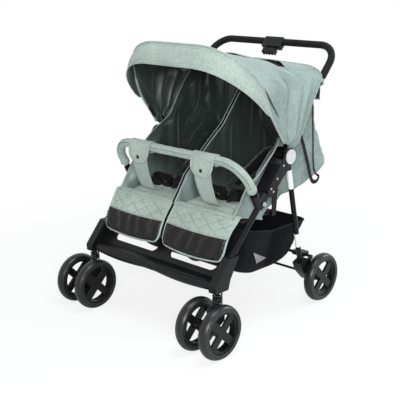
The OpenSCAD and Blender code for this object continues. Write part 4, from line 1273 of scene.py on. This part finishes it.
def basket_points(rows, off=0.0):
    """Rings of the basket from the rim at 0 to the floor at 1."""
    a = np.linspace(0, 2 * math.pi, 120)
    px, py = squarish(a)
    out = []
    for f in rows:
        yf = eased(f, [0, 0.4, 0.72, 0.88, 1], [204, 205, 209, 240, 325])
        yr = eased(f, [0, 0.35, 0.62, 0.82, 1], [678, 632, 594, 560, 499])
        hx = eased(f, [0, 0.5, 0.75, 0.9, 1], [255, 254.5, 253, 246, 228])
        zf = eased(f, [0, 0.4, 0.72, 0.88, 1], [401, 320, 240, 203, 175])
        zr = eased(f, [0, 0.35, 0.62, 0.82, 1], [316, 266, 226, 195, 172])
        y = (yf + yr) / 2 + (yr - yf) / 2 * py
        t = np.clip((y - yf) / (yr - yf), 0, 1)
        z = zf * (1 - t) + zr * t + eased(t, [0, 0.146, 0.5, 0.68, 1], [0, -29, -36, -14, 0]) * (1 - f)
        x = hx * px
        wave = 2.6 * np.sin(7 * a + 5 * f) + 2.0 * np.sin(13 * a - 7 * f)
        wave = math.sin(math.pi * min(1, f / 0.95)) * wave - 1.5
        r = np.hypot(px, py)
        x = x + (np.minimum(wave, 1.5) + off) * px / r
        y = y + (wave * 0.8 + off) * py / r
        out.append(np.stack([x, y, z], 1))
    return np.array(out).transpose(1, 0, 2)


wall = basket_points(np.linspace(0, 1, 26))
spokes = wall[:, -1] - BASKET_FLOOR
floor_rings = [BASKET_FLOOR + spokes * k + np.array((0, 0, -1.5 * (1 - k)))
               for k in (0.85, 0.65, 0.42, 0.2, 0.02)]
bag = np.concatenate([wall, np.array(floor_rings).transpose(1, 0, 2)], axis=1)
bag[-1] = bag[0]
basket = sheet("basket_bag", bag, BASKET_MID, "basket_black", "basket_black", 1.4, "front_frame")
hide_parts("basket")
band = basket_points(np.linspace(0.0, 0.2, 5), 1.3)
hem = sheet("basket_hem_band", band, BASKET_MID, "basket_black", "basket_black", 1.0, "front_frame")
rim = resample(basket_points([0.0], 0.4)[:, 0], 8)[:-1]
basket_trims = [hem, sweep("basket_rim_binding", rim, 2.6, "webbing", "front_frame", 8, True)]
rows = [basket_points([0.185], 2.0)[:, 0]]
basket_trims.append(stitches("basket_hem_stitches", rows, "webbing", "front_frame"))
wall_tree = BVHTree.FromPolygons([Vector(p) for p in wall.reshape(-1, 3)], grid_faces(*wall.shape[:2]))


def on_basket(side, y, z, off):
    """Place on the outside of one of the basket's sides, at a distance from the front axle and a height."""
    hit = wall_tree.ray_cast(Vector((side * 400, y, z)), Vector((-side, 0, 0)))[0]
    return np.array((hit.x + side * off, y, z))


MESH = np.array([(314, 273), (404, 227), (342, 216)], float)
SEAMS = [(256, 340), (285, 275), (318, 222), (342, 190)], [(612, 318), (598, 280), (574, 235)]
for side, word in SIDES:
    net = []
    for i in np.linspace(0, 1, 16):
        p = MESH[0] + (MESH[1] - MESH[0]) * i
        q = MESH[0] + (MESH[2] - MESH[0]) * i
        net.append([on_basket(side, *(p + (q - p) * j), 1.5) for j in np.linspace(0, 1, 16)])
    name = "basket_mesh_window_" + word
    basket_trims.append(sheet(name, np.array(net), BASKET_MID, "mesh_grey", "mesh_grey", 0.6, "front_frame"))
    outline = [on_basket(side, y, z, 1.6) for _, y, z in resample([(0, *q) for q in (*MESH, MESH[0])], 6)]
    basket_trims.append(sweep("basket_window_binding_" + word, outline, 1.6, "webbing", "front_frame", 8))
    for k, line in enumerate(SEAMS):
        path = [on_basket(side, y, z, 0.6) for _, y, z in resample([(0, *q) for q in line], 8)]
        basket_trims.append(sweep("basket_seam_%s_%d" % (word, k), path, 1.4, "webbing", "front_frame", 8))
as_sheet(bag)


# Floor

def floor_material():
    """Pale floor that keeps the shadows and fades into the white around it."""
    m, tree, shader = start("floor")
    feed(tree, shader, {"Base Color": (0.93, 0.93, 0.93, 1), "Roughness": 0.9, "Specular IOR Level": 0.1})
    seen = math_node(tree, "MULTIPLY", node(tree, "ShaderNodeLightPath").outputs["Is Camera Ray"], 0.8)
    pale = mixed(tree, seen, shader, node(tree, "ShaderNodeEmission"))
    away = node(tree, "ShaderNodeVectorMath", {0: place_on(tree)}, operation="LENGTH").outputs["Value"]
    fade = {"Value": away, "From Min": 0.75, "From Max": 1.9}
    fade = node(tree, "ShaderNodeMapRange", fade, interpolation_type="SMOOTHSTEP").outputs[0]
    clear = node(tree, "ShaderNodeBsdfTransparent")
    feed(tree, tree.nodes["Material Output"], {"Surface": mixed(tree, fade, pale, clear).outputs[0]})
    return m


bpy.ops.mesh.primitive_plane_add(size=14)
floor = bpy.context.object
floor.name = "floor"
floor.data.materials.append(floor_material())
